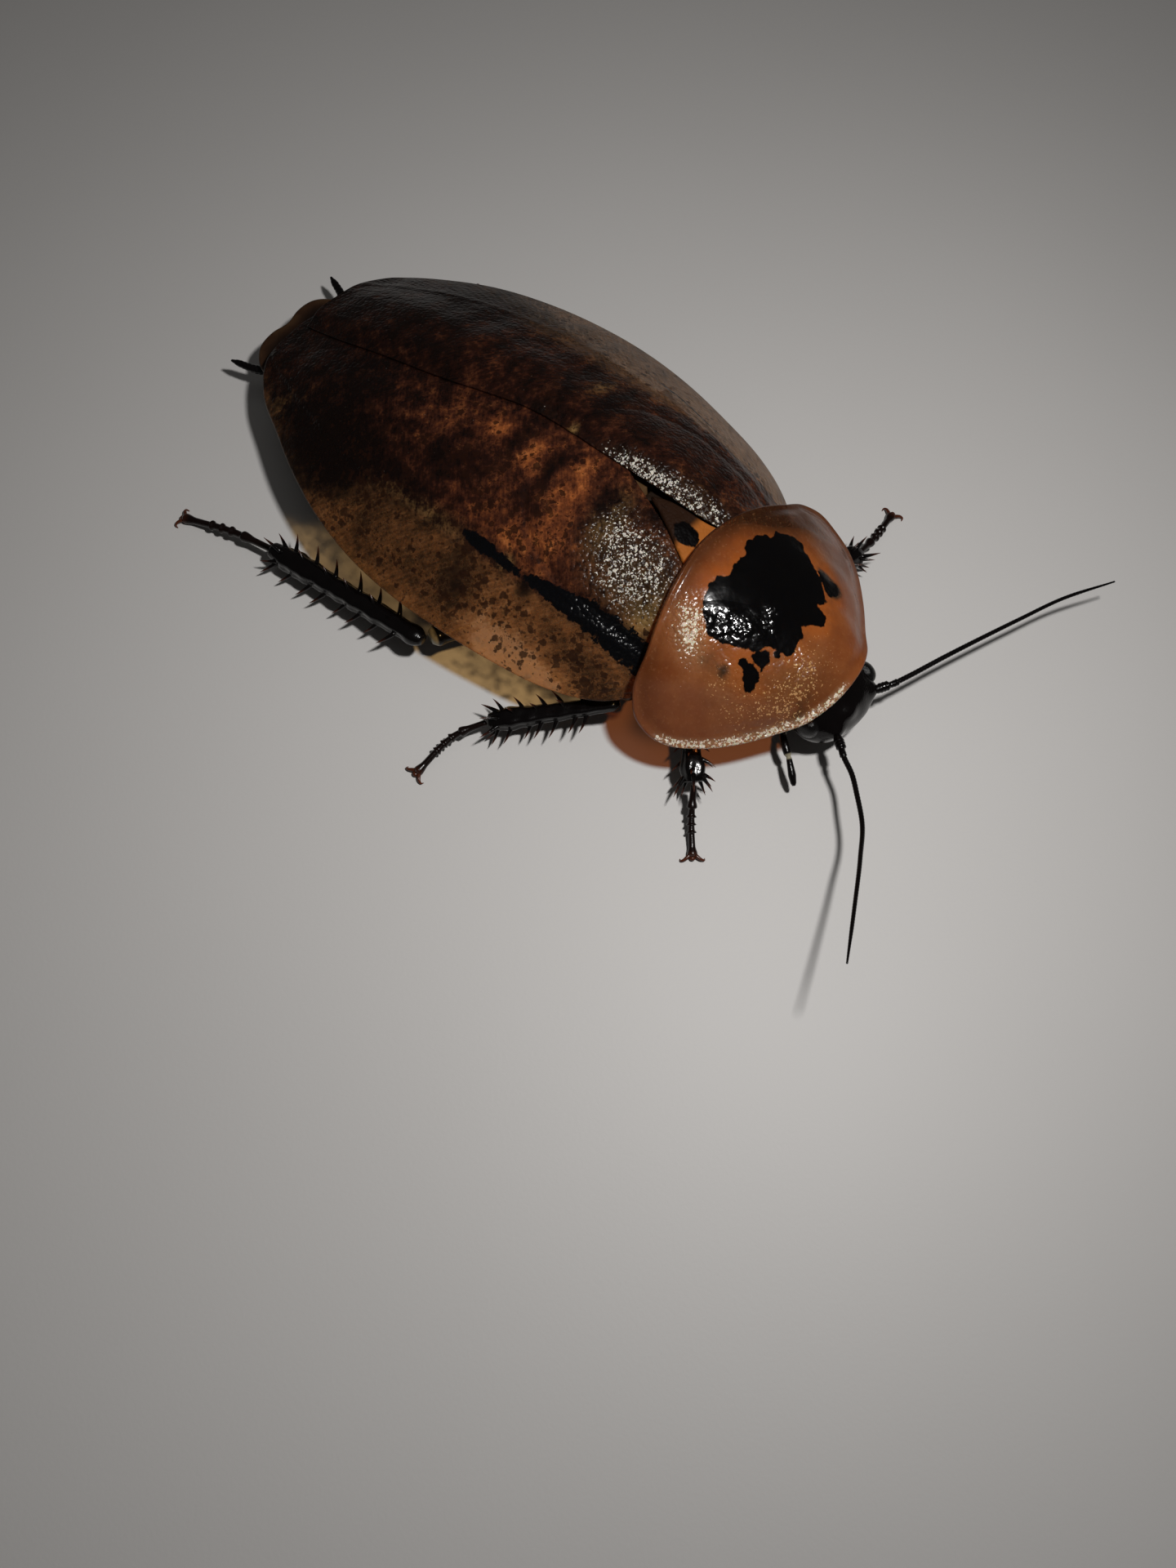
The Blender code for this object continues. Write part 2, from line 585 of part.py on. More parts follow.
def thorax_ceiling(x, y):
    """Clear of the shield in front, then of the wings, whose outer parts lie lower, and of the scutellum."""
    sunk = SCUTELLUM_DROP + SCUTELLUM_THICK + GAP + 0.1
    under_wings = wing_top(x, y) - sunk - 0.6 * ease((np.abs(x) - 5) / 6)
    under_pronotum = pronotum_top(x, y) - UNDER_PRONOTUM
    behind_shield = under_pronotum + 9 * ease((y - 18) / 2)
    return np.where(y < 13, under_pronotum, np.minimum(under_wings, behind_shield))


def abdomen_ceiling(x, y):
    """Clear of the lower wing, and drawn down at the end to make room for the last plate."""
    return wing_top(x, y) - OVERLAP_LIFT - WING_THICK - GAP - 0.1 - 1.6 * ease((y - 62) / 4)


def on_head(points):
    """Places in the head's own frame, turned and leant into the model's."""
    x, y, z = np.asarray(points, float).T
    ahead = y * math.cos(HEAD_LEAN) - z * math.sin(HEAD_LEAN)
    up = y * math.sin(HEAD_LEAN) + z * math.cos(HEAD_LEAN)
    across = x * math.cos(HEAD_TURN) - ahead * math.sin(HEAD_TURN)
    along = x * math.sin(HEAD_TURN) + ahead * math.cos(HEAD_TURN)
    return np.stack([across, along, up], axis=1) + HEAD_MIDDLE


def egg(middle, size, levels, around, squareness=1.0, narrowing=0.0):
    """An egg in the head's frame: squareness under 1 fills its corners, narrowing draws it in below."""
    angle = np.arange(around) * 2 * math.pi / around
    rings = []
    for level in np.linspace(-1, 1, levels + 2)[1:-1]:
        ring = math.sqrt(1 - level**2) ** squareness
        narrow = 1 - narrowing * max(0, -level)
        x = size[0] * ring * narrow * np.sign(np.cos(angle)) * np.abs(np.cos(angle)) ** squareness
        y = size[1] * ring * np.sign(np.sin(angle)) * np.abs(np.sin(angle)) ** squareness
        z = np.full(around, size[2] * level)
        rings.append(on_head(np.stack([x, y, z], axis=1) + middle))
    return loft(rings)


def head(material):
    """A broad capsule leaning forward, drawn in towards the mouth, with a socket for each eye."""
    capsule = solid("head", *egg((0, 0, 0), HEAD_SIZE, 11, 22, HEAD_SQUARENESS, HEAD_NARROWING), material)
    for side in (1, -1):
        hollow = egg(EYE_PLACE * (side, 1, 1), EYE_SIZE + GAP + 0.04, 9, 16)
        cut(capsule, solid("socket", *hollow, material))


def cut(thing, cutter):
    """Takes the cutter's shape out of the thing, and removes the cutter."""
    hollow = thing.modifiers.new("hollow", "BOOLEAN")
    hollow.operation = "DIFFERENCE"
    hollow.object = cutter
    apply_modifiers(thing)
    bpy.data.objects.remove(cutter)


def eye(name, side, material):
    solid(name, *egg(EYE_PLACE * (side, 1, 1), EYE_SIZE, 7, 14), material)


def mouthparts(material):
    """The blunt lower end of the face, where lip and jaws close."""
    aim = np.array(MOUTH_AIM) / np.linalg.norm(MOUTH_AIM)
    rings = []
    for distance, wide, deep in MOUTH_RINGS:
        path = np.array([MOUTH_START + aim * (distance - 0.1), MOUTH_START + aim * (distance + 0.1)])
        rings.append(tube(path, wide, 14, deep, (0, -1, 0)).mean(0))
    solid("mouthparts", *loft(rings), material)


def unit(direction):
    direction = np.array(direction, float)
    return direction / np.linalg.norm(direction)


def between(a, b, shares):
    """Points at the given shares of the way from a to b."""
    a, b = np.array(a, float), np.array(b, float)
    return a + (b - a) * np.reshape(shares, (-1, 1))


def legs(leg_look, foot_look):
    """All six legs, each with its own draw for the lengths and turns of its spines."""
    for number, (name, joints) in enumerate(LEGS.items()):
        pair = name.split("_")[0]
        size = LEG_SIZES[pair]
        hip, trochanter, knee, ankle, bend, toe = (np.array(joint, float) for joint in joints)
        coxa(name, hip, trochanter, size["coxa"], leg_look)
        femur(name, hip, trochanter, knee, size["femur"], leg_look)
        tibia(name, knee, ankle, size["tibia"], SPINE_ROWS[pair], random.Random(number), leg_look)
        tarsus(name, ankle, bend, toe, size["tarsus"], foot_look)


def coxa(name, hip, trochanter, size, material):
    """The broad flat hip piece, folded back under the thorax."""
    share, swell = np.array(COXA_SWELL, float).T
    rings = tube(between(hip, trochanter, share), size[0] * swell, 12, size[1] * swell)
    solid(f"coxa_{name}", *loft(rings), material)


def femur(name, hip, trochanter, knee, size, material):
    """The thigh, which turns out of the end of the coxa through the short trochanter."""
    along = unit(trochanter - hip)
    out = unit(knee - trochanter)
    aside = unit(out - along * along.dot(out))
    turn = np.linspace(0, math.acos(along.dot(out)), len(TROCHANTER_SWELL))[:, None]
    start = trochanter + along * (GAP + 0.12)
    bend = start + TROCHANTER_BEND * (np.sin(turn) * along + (1 - np.cos(turn)) * aside)
    end = knee - unit(knee - bend[-1]) * FEMUR_SHORT_OF_KNEE
    share, swell = np.array(FEMUR_SWELL, float).T
    path = np.concatenate([bend, between(bend[-1], end, share)])
    swell = np.concatenate([TROCHANTER_SWELL, swell])
    rings = tube(path, size[0] * swell, 12, size[1] * swell)
    solid(f"femur_{name}", *loft(rings), material)


def tibia(name, knee, ankle, size, rows, draw, material):
    """The shin, slightly wider at its end, with rows of spines and a crown of spurs at the ankle."""
    share, swell = np.array(TIBIA_SWELL, float).T
    path = between(knee, ankle - unit(ankle - knee) * 0.1, share)
    width = np.interp(share, [0, 1], size) * swell
    shin = loft(tube(path, width, 10, width * TIBIA_FLATNESS))
    fused(f"tibia_{name}", [shin] + spines(knee, ankle, size, rows, draw), material)


def spines(knee, ankle, size, rows, draw):
    """Tapered spines in rows along the shin, then spurs round its end that point on towards the foot."""
    ahead = unit(ankle - knee)
    inner = unit(np.cross(ahead, (0, 0, 1)))
    inner = inner if inner[0] * knee[0] < 0 else -inner
    rise = np.array([0, 0, 1]) - ahead * ahead[2]
    pieces = []
    for turn, count, first, last, length in rows:
        for share in np.linspace(first, last, count):
            angle = math.radians(turn + draw.uniform(-9, 9))
            share = share + draw.uniform(-0.02, 0.02)
            grown = length * draw.uniform(0.85, 1.1)
            pieces.append(spike(knee, ankle, share, size, inner, rise, angle, SPINE_SLANT, grown))
    for turn in SPUR_TURNS:
        angle = math.radians(turn + draw.uniform(-8, 8))
        length = SPUR_LENGTH * draw.uniform(0.8, 1.1)
        pieces.append(spike(knee, ankle, SPUR_SHARE, size, inner, rise, angle, SPUR_SLANT, length))
    return pieces


def spike(knee, ankle, share, size, inner, rise, angle, slant, length):
    """One four-sided spine: its root sunk in the shin, its tip slanted to the foot and clear of the floor."""
    out = unit(math.cos(angle) * inner + math.sin(angle) * unit(rise))
    width = size[0] + (size[1] - size[0]) * share
    skin = knee + (ankle - knee) * share + out * width * 0.8
    aim = unit(out + unit(ankle - knee) * slant)
    tip = skin + aim * length
    tip[2] = max(tip[2], LOWEST_SPINE)
    path = np.array([skin - aim * SPINE_ROOT, skin + (tip - skin) * 0.45])
    return loft(tube(path, [SPINE_RADIUS, SPINE_RADIUS * 0.7], 4, lift=unit(ankle - knee)), tip)


def tarsus(name, ankle, bend, toe, radius, material):
    """The foot: five segments that each widen to their end, two claws, and a flat sole under the last one."""
    lift = (0, 0, radius * TARSUS_HEIGHT)
    start = ankle + unit(bend - ankle) * GAP * 0.8
    route = curve([start, bend + lift, toe + lift], 0.25)
    run = np.linspace(0, 1, len(route))
    shares = []
    for first, last in zip(TARSUS_PARTS, TARSUS_PARTS[1:]):
        shares += [first + 0.012, (first + last) / 2, last - 0.012]
    path = np.stack([np.interp(shares, run, axis) for axis in route.T], axis=1)
    rings = tube(path, radius * np.tile(TARSUS_SWELL, len(TARSUS_PARTS) - 1), 8)
    rings[..., 2] = np.maximum(rings[..., 2], 0)
    sole = np.argsort(rings[-1, :, 2])[:2]
    rings[-2:, sole, 2] = 0
    fused(f"tarsus_{name}", [loft(rings)] + claws(path[-2], path[-1]), material)


def claws(before, end):
    """Two hooked claws that spread to both sides of the toe."""
    ahead = unit((end - before) * (1, 1, 0))
    out, on, height, swell = np.array(CLAW, float).T
    pieces = []
    for side in (1, -1):
        across = np.cross(ahead, (0, 0, 1)) * side
        path = end + out[:, None] * across + on[:, None] * ahead
        path[:, 2] = height
        tip = end + across * CLAW_TIP[0] + ahead * CLAW_TIP[1]
        tip[2] = CLAW_TIP[2]
        pieces.append(loft(tube(path, CLAW_RADIUS * swell, 5), tip))
    return pieces


def rod(name, route, radii, spacing, sides, material):
    """A thin tapered tube on a smooth route; radii are (share of its length, radius) pairs."""
    path = curve(route, spacing)
    share = np.linspace(0, 1, len(path))
    at, radius = np.array(radii, float).T
    solid(name, *loft(tube(path, np.interp(share, at, radius), sides)), material)


def flipped(route):
    return [(-x, y, z) for x, y, z in route]


def main():
    for thing in list(bpy.data.objects):
        bpy.data.objects.remove(thing)
    shield = look("pronotum_horn", (0.32, 0.13, 0.05), 0.25)
    membrane = look("wing_brown", (0.12, 0.045, 0.02), 0.3)
    black = look("black_horn", (0.008, 0.007, 0.007), 0.18)
    belly = look("belly_brown", (0.05, 0.022, 0.012), 0.35)
    claw_red = look("claw_red", (0.06, 0.015, 0.008), 0.3)
    pronotum(shield)
    wing(1, membrane)
    wing(-1, membrane)
    scutellum(shield)
    tail_plate(belly)
    trunk("thorax", THORAX_STATIONS, 28, thorax_ceiling, [], 2.2, belly)
    trunk("abdomen", ABDOMEN_STATIONS, 24, abdomen_ceiling, SEGMENT_STARTS, 2.5, belly)
    head(black)
    eye("eye_left", 1, black)
    eye("eye_right", -1, black)
    mouthparts(black)
    legs(black, claw_red)
    rod("antenna_right", ANTENNA_RIGHT, ANTENNA_RADII, 0.8, 6, black)
    rod("antenna_left", ANTENNA_LEFT, ANTENNA_RADII, 0.8, 6, black)
    rod("palp_right", PALP_RIGHT, PALP_RADII, 0.6, 8, black)
    rod("palp_left", PALP_LEFT, PALP_RADII, 0.6, 8, black)
    rod("cercus_left", CERCUS, CERCUS_RADII, 0.7, 8, black)
    rod("cercus_right", flipped(CERCUS), CERCUS_RADII, 0.7, 8, black)


main()
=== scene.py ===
"""The finished surfaces of a life-size peppered roach, laid out as an add-on and run as a script.

Lengths are millimetres, and turn into metres where a mesh is made. Places are counted from the front edge
of the pronotum on the mid-line: +X is the animal's own left, +Y runs to its tail, and the floor is z = 0.
"""

import math

import bpy
import numpy as np
from bpy.props import FloatProperty, FloatVectorProperty, IntProperty, PointerProperty
from mathutils import Matrix


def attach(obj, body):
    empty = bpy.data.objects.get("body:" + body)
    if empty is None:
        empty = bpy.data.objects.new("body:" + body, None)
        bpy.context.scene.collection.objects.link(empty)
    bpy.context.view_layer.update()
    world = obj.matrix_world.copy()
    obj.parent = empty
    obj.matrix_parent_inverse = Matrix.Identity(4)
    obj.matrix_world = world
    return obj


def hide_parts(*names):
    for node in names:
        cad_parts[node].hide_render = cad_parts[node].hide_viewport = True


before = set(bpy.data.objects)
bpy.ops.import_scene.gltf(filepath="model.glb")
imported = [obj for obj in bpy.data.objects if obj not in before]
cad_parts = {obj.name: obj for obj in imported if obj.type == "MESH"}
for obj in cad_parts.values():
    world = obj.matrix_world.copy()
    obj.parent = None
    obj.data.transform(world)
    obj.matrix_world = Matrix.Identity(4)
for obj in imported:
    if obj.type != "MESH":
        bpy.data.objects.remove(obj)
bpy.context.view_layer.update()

bl_info = {
    "name": "Peppered Roach Finish",
    "version": (1, 0, 0),
    "blender": (4, 5, 0),
    "location": "3D View > Sidebar > Roach",
    "description": "Covers the solids of a life-size peppered roach with its finished surfaces",
    "category": "Add Mesh",
}

MM = 0.001
BOX_MIDDLE = (-0.85, 31.0, 0.0)
FULL_TURN = 2 * math.pi

# The pronotum: a broad domed shield whose hind edge rises over the wings.
PRONOTUM_EDGE = [
    (0, 0.35), (2.8, 0.65), (4.9, 1.4), (6.9, 2.75), (9.9, 5.0), (12.6, 7.7), (14.2, 10.2),
    (14.7, 12.2), (14.4, 14.0), (13.0, 15.4), (10.4, 16.1), (8.2, 16.8), (5.0, 17.6), (0, 18.2),
]
PRONOTUM_CREST = [
    (0, 8.8), (1.5, 9.9), (3, 10.9), (5, 12.0), (8, 13.3), (11, 14.4), (14, 15.3), (18.5, 16.2),
]
PRONOTUM_SIDE = [
    (0, 8.8), (1.4, 8.1), (2.8, 6.9), (5, 6.3), (7.7, 6.15), (11.7, 6.6), (14, 7.6), (18.5, 8.2),
]
PRONOTUM_REACH = [
    (0, 3.0), (0.65, 4.0), (1.4, 5.0), (2.75, 7.0), (5, 9.95), (7.7, 12.65), (10.2, 14.2), (12.2, 14.75),
    (18.5, 14.9),
]
PRONOTUM_MIDDLE = (0.0, 10.5)
FLANGE_LINE = [(0, 2.2), (15, 11.0)]

# The black mark on the pronotum, its hooked neighbour, the bridge between them and two small spots.
BLOTCH = [
    (1.1, 6.4), (2.2, 5.4), (2.95, 5.8), (3.35, 7.1), (4.4, 6.7), (5.5, 8.2), (6.3, 9.8), (6.9, 11.1),
    (7.5, 12.0), (7.25, 12.9), (6.5, 13.6), (6.05, 14.1), (5.0, 14.0), (5.05, 14.6), (4.0, 15.05),
    (2.75, 15.2), (2.1, 14.95), (1.9, 14.45), (0.25, 14.7), (-0.6, 14.4), (-1.4, 14.5), (-1.7, 15.1),
    (-2.75, 15.1), (-3.75, 14.7), (-4.4, 14.4), (-5.25, 13.7), (-6.0, 12.6), (-5.95, 11.9), (-5.4, 10.25),
    (-4.75, 9.0), (-4.05, 8.3), (-3.25, 7.9), (-2.9, 7.25), (-2.5, 6.1), (-1.75, 5.9), (-0.25, 6.25),
    (0.4, 6.8),
]
BLOTCH_HOOK = [
    (-7.1, 7.1), (-6.5, 6.75), (-5.6, 6.75), (-5.2, 7.25), (-5.1, 8.0), (-5.4, 8.9), (-5.7, 9.2),
    (-6.0, 9.0), (-6.25, 8.1), (-6.9, 7.75),
]
BLOTCH_BRIDGE = [(-5.0, 7.1), (-4.1, 6.9), (-3.25, 7.5), (-3.75, 8.0), (-4.5, 8.5), (-4.9, 8.75)]
BLOTCH_DOT = (-3.1, 6.9)
BLOTCH_DOT_RADIUS = 0.35
BLOTCH_SPOT = [
    (5.0, 7.0), (5.9, 6.5), (6.8, 6.8), (7.0, 7.4), (6.5, 8.1), (6.7, 8.8), (6.2, 9.2), (5.8, 8.5),
    (5.2, 7.7),
]
# Where the light glints on the shield: a path across its crown as (x, y, half width, strength).
GLINT_PATH = [
    (-0.4, 9.4, 0.9, 1.0), (-2.0, 9.0, 1.1, 1.0), (-4.3, 11.8, 1.3, 1.0), (-6.4, 13.6, 1.5, 1.0),
    (-7.8, 15.3, 0.8, 1.0),
]
# Patches of the shield: (x, y, half width, half length, turn in degrees, strength).
SHIELD_FRONT = [(-4.0, 4.2, 4.8, 2.6, 0, 1.0), (-8.0, 8.0, 2.2, 3.2, 0, 0.55)]
SHIELD_KNOBS = [
    (-0.3, 9.9, 0.6, 0.7, 0, 0.16), (-1.3, 8.9, 0.5, 0.5, 0, 0.12), (-3.4, 11.6, 0.7, 0.7, 0, 0.08),
    (-5.6, 13.6, 0.8, 0.8, 0, 0.12), (-6.8, 14.8, 0.7, 0.7, 0, 0.12), (-6.4, 12.6, 0.6, 0.6, 0, 0.1),
]
# Painted shade: patches that darken the shield where less light reaches it, most of all towards its hind left
# corner and along its hind edge.
SHIELD_PAINTED_SHADE = [
    (8.6, 15.2, 5.4, 2.6, -20, 1.25), (-12.6, 14.2, 3.0, 1.8, 30, 0.4), (-2.4, 2.2, 3.4, 1.8, -20, 0.35),
    (11.0, 10.5, 3.6, 4.0, 0, 0.4), (-1.0, 17.7, 8.0, 1.3, 0, 0.75), (10.2, 17.0, 3.2, 2.0, 0, 0.8),
    (-10.5, 16.0, 2.0, 1.5, 0, 0.35),
]
# Where pale dots and a cream tone paint the glints of the shield's glitter, and where its skin is domed.
SHIELD_GLITTER = [(-6.7, 14.0, 1.5, 2.4, -40, 1.15)]
# Olive smudges beside the mark.
SHIELD_SMUDGES = [
    (6.2, 7.1, 0.9, 0.8, 0, 1.3), (6.5, 8.4, 0.5, 0.9, 0, 1.1), (-7.3, 9.6, 0.9, 0.6, 0, 0.5),
    (-7.5, 11.2, 1.1, 0.9, 0, 0.45), (-4.2, 2.6, 1.6, 0.8, 0, 0.4),
]

# The folded wings: their outer edge, and the height of the mid-line and of the outer edge, all along Y.
WING_EDGE = [
    (12.3, 15.3), (14.6, 17.8), (15.9, 20.0), (16.85, 22.3), (18.35, 28.75), (19.1, 34.4), (19.3, 42.0),
    (17.9, 51.2), (15.7, 57.8), (13.3, 62.8), (10.4, 68.0), (7.4, 70.7), (4.6, 71.5), (1.5, 71.6),
]
WING_REACH = [
    (15, 12.5), (17.8, 14.7), (20, 15.95), (22.3, 16.9), (28.75, 18.4), (34.4, 19.15), (42, 19.35),
    (51.2, 17.95), (57.8, 15.8), (62.8, 13.4), (68, 10.8), (72, 9.0),
]
WING_CREST = [
    (14, 13.85), (16, 14.35), (18, 14.87), (21, 15.9), (25, 16.6), (30, 16.6), (36, 16.2), (40, 15.8),
    (45, 15.0), (50, 14.0), (55, 12.8), (60, 11.4), (65, 9.6), (68, 8.4), (72, 6.9),
]
WING_SIDE = [
    (14, 6.0), (18, 6.1), (22.3, 6.35), (28.75, 6.9), (34.4, 7.4), (42, 7.6), (51.2, 7.6), (62.8, 7.1),
    (68, 6.4), (72, 5.9),
]
LEFT_INNER = [
    (4.4, 15.3), (3.3, 18.0), (2.3, 21.0), (1.65, 24.5), (1.35, 31.0), (1.4, 36.0), (1.2, 40.4), (0.5, 44.6),
    (-0.5, 50.0), (-1.2, 56.0), (-1.8, 64.0), (-1.6, 70.4),
]
RIGHT_INNER = [
    (-3.4, 15.3), (-2.5, 18.0), (-0.9, 21.5), (0.7, 25.5), (2.4, 30.0), (3.4, 36.0), (3.8, 45.0),
    (3.8, 56.0), (3.2, 64.0), (2.2, 70.8),
]
# The left wing's tip is worn back, and the edge that lies on the right wing is thin and bent down to it.
LEFT_EDGE = WING_EDGE[:10] + [(10.9, 67.1), (9.5, 68.8), (6.8, 70.0), (4.2, 70.1), (1.5, 70.3)]
INNER_DROP = 0.58
DROP_START = 15.0
INNER_BEND = 2.6
INNER_TAPER = 1.4
INNER_THINNING = 0.55
OVERLAP_LIFT = 0.49
OVERLAP_START = 20.0
OVERLAP_RISE = 6.0
OVERLAP_FADE = 5.0
LEFT_LIFT_FROM = 4.8
RIGHT_DROP_FROM = -6.8
TAIL_SWAY = 0.55
SWAY_START = 44.0
SWAY_RUN = 22.0
ARCH_POWER = 2.5
ARCH_FLARE = 0.45

# Lines of one wing as (y, outward x): the stout vein beside the outer field, and the furrow round the clavus.
STOUT_VEIN = [
    (14, 10.2), (17.4, 10.6), (24, 11.6), (32, 12.6), (41, 12.8), (51, 11.9), (60, 10.0), (67.4, 7.6),
    (72, 5.5),
]
FURROW = [
    (14, 9.4), (17, 9.7), (22.0, 10.2), (27.0, 10.2), (30.0, 9.3), (32.4, 7.7), (34.2, 4.8), (35.0, 1.4),
    (35.3, -1.0),
]

# Patches that lighten or darken each wing: (x, y, half width, half length, turn in degrees, strength).
# On the right wing's outer field these also paint the light and shade of what lies under the thin margin: the
# trunk, the legs and their shadows.
RIGHT_LIGHT = [
    (-3.0, 30.6, 2.9, 2.0, 10, 0.42), (-8.2, 29.6, 1.9, 3.2, 0, 0.26), (-2.4, 36.1, 2.2, 1.0, 0, 0.42),
    (-2.0, 41.0, 1.6, 1.9, 25, 0.4), (-8.9, 18.4, 1.1, 1.4, 0, 0.2), (-9.2, 33.6, 1.3, 2.0, 0, 0.2),
    (-3.4, 46.4, 3.2, 2.6, 20, 0.12), (-3.0, 52.4, 3.2, 1.6, 20, 0.14), (-3.2, 27.3, 2.2, 1.0, 15, -0.42),
    (-0.8, 22.5, 1.0, 3.6, 12, -0.4), (-3.2, 33.7, 2.6, 0.75, 0, -0.55), (-1.6, 38.3, 2.8, 0.8, 0, -0.5),
    (-6.6, 32.0, 0.8, 0.6, 0, -0.35), (-4.8, 32.6, 0.6, 0.4, 0, -0.4), (-7.6, 37.6, 2.6, 1.6, 0, -0.2),
    (-7.4, 41.6, 2.4, 3.0, 0, -0.18), (-10.4, 33.0, 1.0, 2.6, 0, 0.16), (-9.6, 39.5, 1.3, 3.0, 0, 0.2),
    (-7.4, 36.6, 1.4, 1.6, 0, 0.2), (-4.4, 34.2, 1.4, 0.8, 0, 0.25), (-16.4, 50.0, 1.6, 3.0, 10, 0.25),
    (-10.8, 46.0, 0.9, 5.0, 0, -0.3), (-16.9, 27.0, 0.9, 7.0, 0, 0.3), (-11.0, 55.6, 2.8, 5.4, 10, -0.5),
    (-5.0, 58.5, 6.0, 2.6, 0, -0.1), (-12.4, 28.6, 0.8, 0.8, 0, -0.5), (-13.6, 21.0, 1.4, 5.0, 0, -0.22),
    (-17.4, 25.0, 2.0, 6.0, 0, 0.65), (-15.6, 34.6, 2.8, 1.8, 30, -0.42), (-16.2, 38.2, 2.0, 3.4, 0, -0.22),
    (-13.2, 42.0, 1.4, 7.0, 0, -0.1), (-13.6, 51.6, 2.6, 3.6, 0, -0.26), (-15.6, 17.6, 1.6, 1.6, 0, -0.15),
    (-15.4, 46.5, 2.4, 2.6, 0, -0.12), (-15.6, 59.0, 2.4, 4.0, 30, -0.24),
]
LEFT_LIGHT = [
    (9.4, 18.8, 2.6, 1.6, 0, 0.2), (5.8, 29.5, 2.4, 1.8, 0, -0.18), (6.2, 34.0, 3.6, 1.1, 0, -0.24),
    (3.2, 38.4, 3.2, 1.3, 0, -0.22), (9.9, 24.8, 0.8, 0.7, 0, -0.25), (8.6, 31.6, 2.2, 1.2, 0, 0.1),
    (6.4, 36.4, 2.6, 0.8, 0, 0.12), (11.0, 39.0, 1.6, 1.0, 0, -0.2), (3.2, 46.4, 2.6, 1.2, 0, 0.12),
    (2.0, 34.9, 0.7, 0.6, 0, 0.3), (14.6, 45.0, 2.2, 8.0, 12, -0.14), (11.6, 56.0, 3.4, 7.0, 20, -0.35),
    (15.0, 55.0, 1.6, 6.0, 20, 0.15), (16.0, 24.0, 2.2, 6.0, 0, 0.08),
]
RIGHT_GOLD = [
    (-6.4, 20.4, 2.5, 3.5, 0, 0.5), (-3.6, 25.8, 2.4, 1.2, 10, 0.8), (-7.6, 18.2, 1.8, 1.2, 0, 0.6),
    (-11.8, 31.4, 0.6, 0.6, 0, 0.9), (-11.6, 66.0, 1.4, 4.0, 35, 0.8), (-12.4, 43.0, 0.9, 7.0, 0, 0.5),
]
LEFT_GOLD = [(3.0, 20.0, 1.4, 3.0, 0, 0.5), (8.0, 36.4, 1.6, 0.8, 0, 0.4), (1.8, 34.8, 0.6, 0.5, 0, 0.7)]
# Where dark flecks crowd.
RIGHT_FLECKS = [
    (-14.2, 19.5, 2.2, 4.4, 0, 0.6), (-16.4, 35.5, 1.6, 4.0, 0, 0.45), (-15.2, 28.0, 2.2, 4.4, 0, 0.35),
    (-13.4, 34.5, 2.2, 3.0, 0, 0.5), (-7.2, 33.6, 3.2, 3.4, 0, 0.4), (-17.0, 43.0, 1.4, 3.0, 0, 0.3),
    (-16.0, 49.0, 1.8, 4.0, 10, 0.5),
    (-12.6, 47.0, 1.6, 4.0, 0, 0.35), (-6.6, 40.0, 3.2, 4.4, 0, 0.35), (-8.4, 28.0, 1.6, 2.4, 0, 0.25),
]
LEFT_FLECKS = [
    (7.6, 22.5, 3.6, 5.0, 0, 0.4), (8.6, 32.0, 3.2, 5.0, 0, 0.4), (10.6, 41.0, 3.2, 4.0, 0, 0.35),
    (12.6, 21.0, 1.0, 2.0, 0, 0.2), (13.0, 50.0, 3.0, 5.0, 0, 0.25),
]
# Where the skin is strongly domed, so that it sparkles, and where pale dots are painted as its glints.
RIGHT_PITTED = [(-5.6, 21.4, 3.9, 4.8, 0, 1.0), (-3.0, 25.6, 2.0, 1.6, 0, 0.4)]
LEFT_PITTED = [(2.8, 20.0, 1.8, 4.0, 10, 1.0), (2.2, 27.0, 1.2, 5.4, 5, 1.0), (2.0, 38.0, 1.0, 3.0, 0, 0.4)]
# Dark streaks along the shoulders, as (x, y, half width, strength) on a path.
RIGHT_STREAK = [
    (-10.1, 15.9, 1.3, 1.0), (-10.4, 19.0, 1.25, 1.0), (-10.9, 23.0, 1.1, 1.0), (-11.5, 27.2, 0.6, 0.95),
    (-11.8, 29.4, 0.4, 0.45), (-11.8, 31.4, 0.5, 0.8), (-11.8, 34.2, 0.6, 1.0), (-11.7, 36.4, 0.5, 0.6),
    (-11.2, 38.4, 0.5, 0.1),
]
LEFT_STREAK = [
    (13.2, 25.0, 0.05, 0.8), (13.9, 28.5, 0.1, 1.0), (14.4, 32.0, 0.14, 1.0), (14.8, 37.0, 0.05, 0.8),
]
# How far a side vein runs back to the margin, and the cosine and sine of the turn of the veins' flow.
SIDE_VEIN_RAKE = 8.5
FLOW_TURN = (0.76, 0.65)
# For each side, 1 for the left: patches of lightness, gold, flecks and pits.
WING_PATCHES = {
    1: (LEFT_LIGHT, LEFT_GOLD, LEFT_FLECKS, LEFT_PITTED),
    -1: (RIGHT_LIGHT, RIGHT_GOLD, RIGHT_FLECKS, RIGHT_PITTED),
}
# Colours of a wing from dark to light, within and in the outer field.
INNER_TONES = [
    (0.0, (0.0066, 0.0036, 0.0028)), (0.28, (0.018, 0.0064, 0.0042)), (0.5, (0.058, 0.0175, 0.0085)),
    (0.72, (0.15, 0.043, 0.0145)), (1.0, (0.38, 0.118, 0.030)),
]
OUTER_TONES = [
    (0.0, (0.016, 0.008, 0.0045)), (0.3, (0.062, 0.028, 0.012)), (0.55, (0.18, 0.075, 0.028)),
    (0.8, (0.33, 0.145, 0.056)), (1.0, (0.48, 0.24, 0.11)),
]

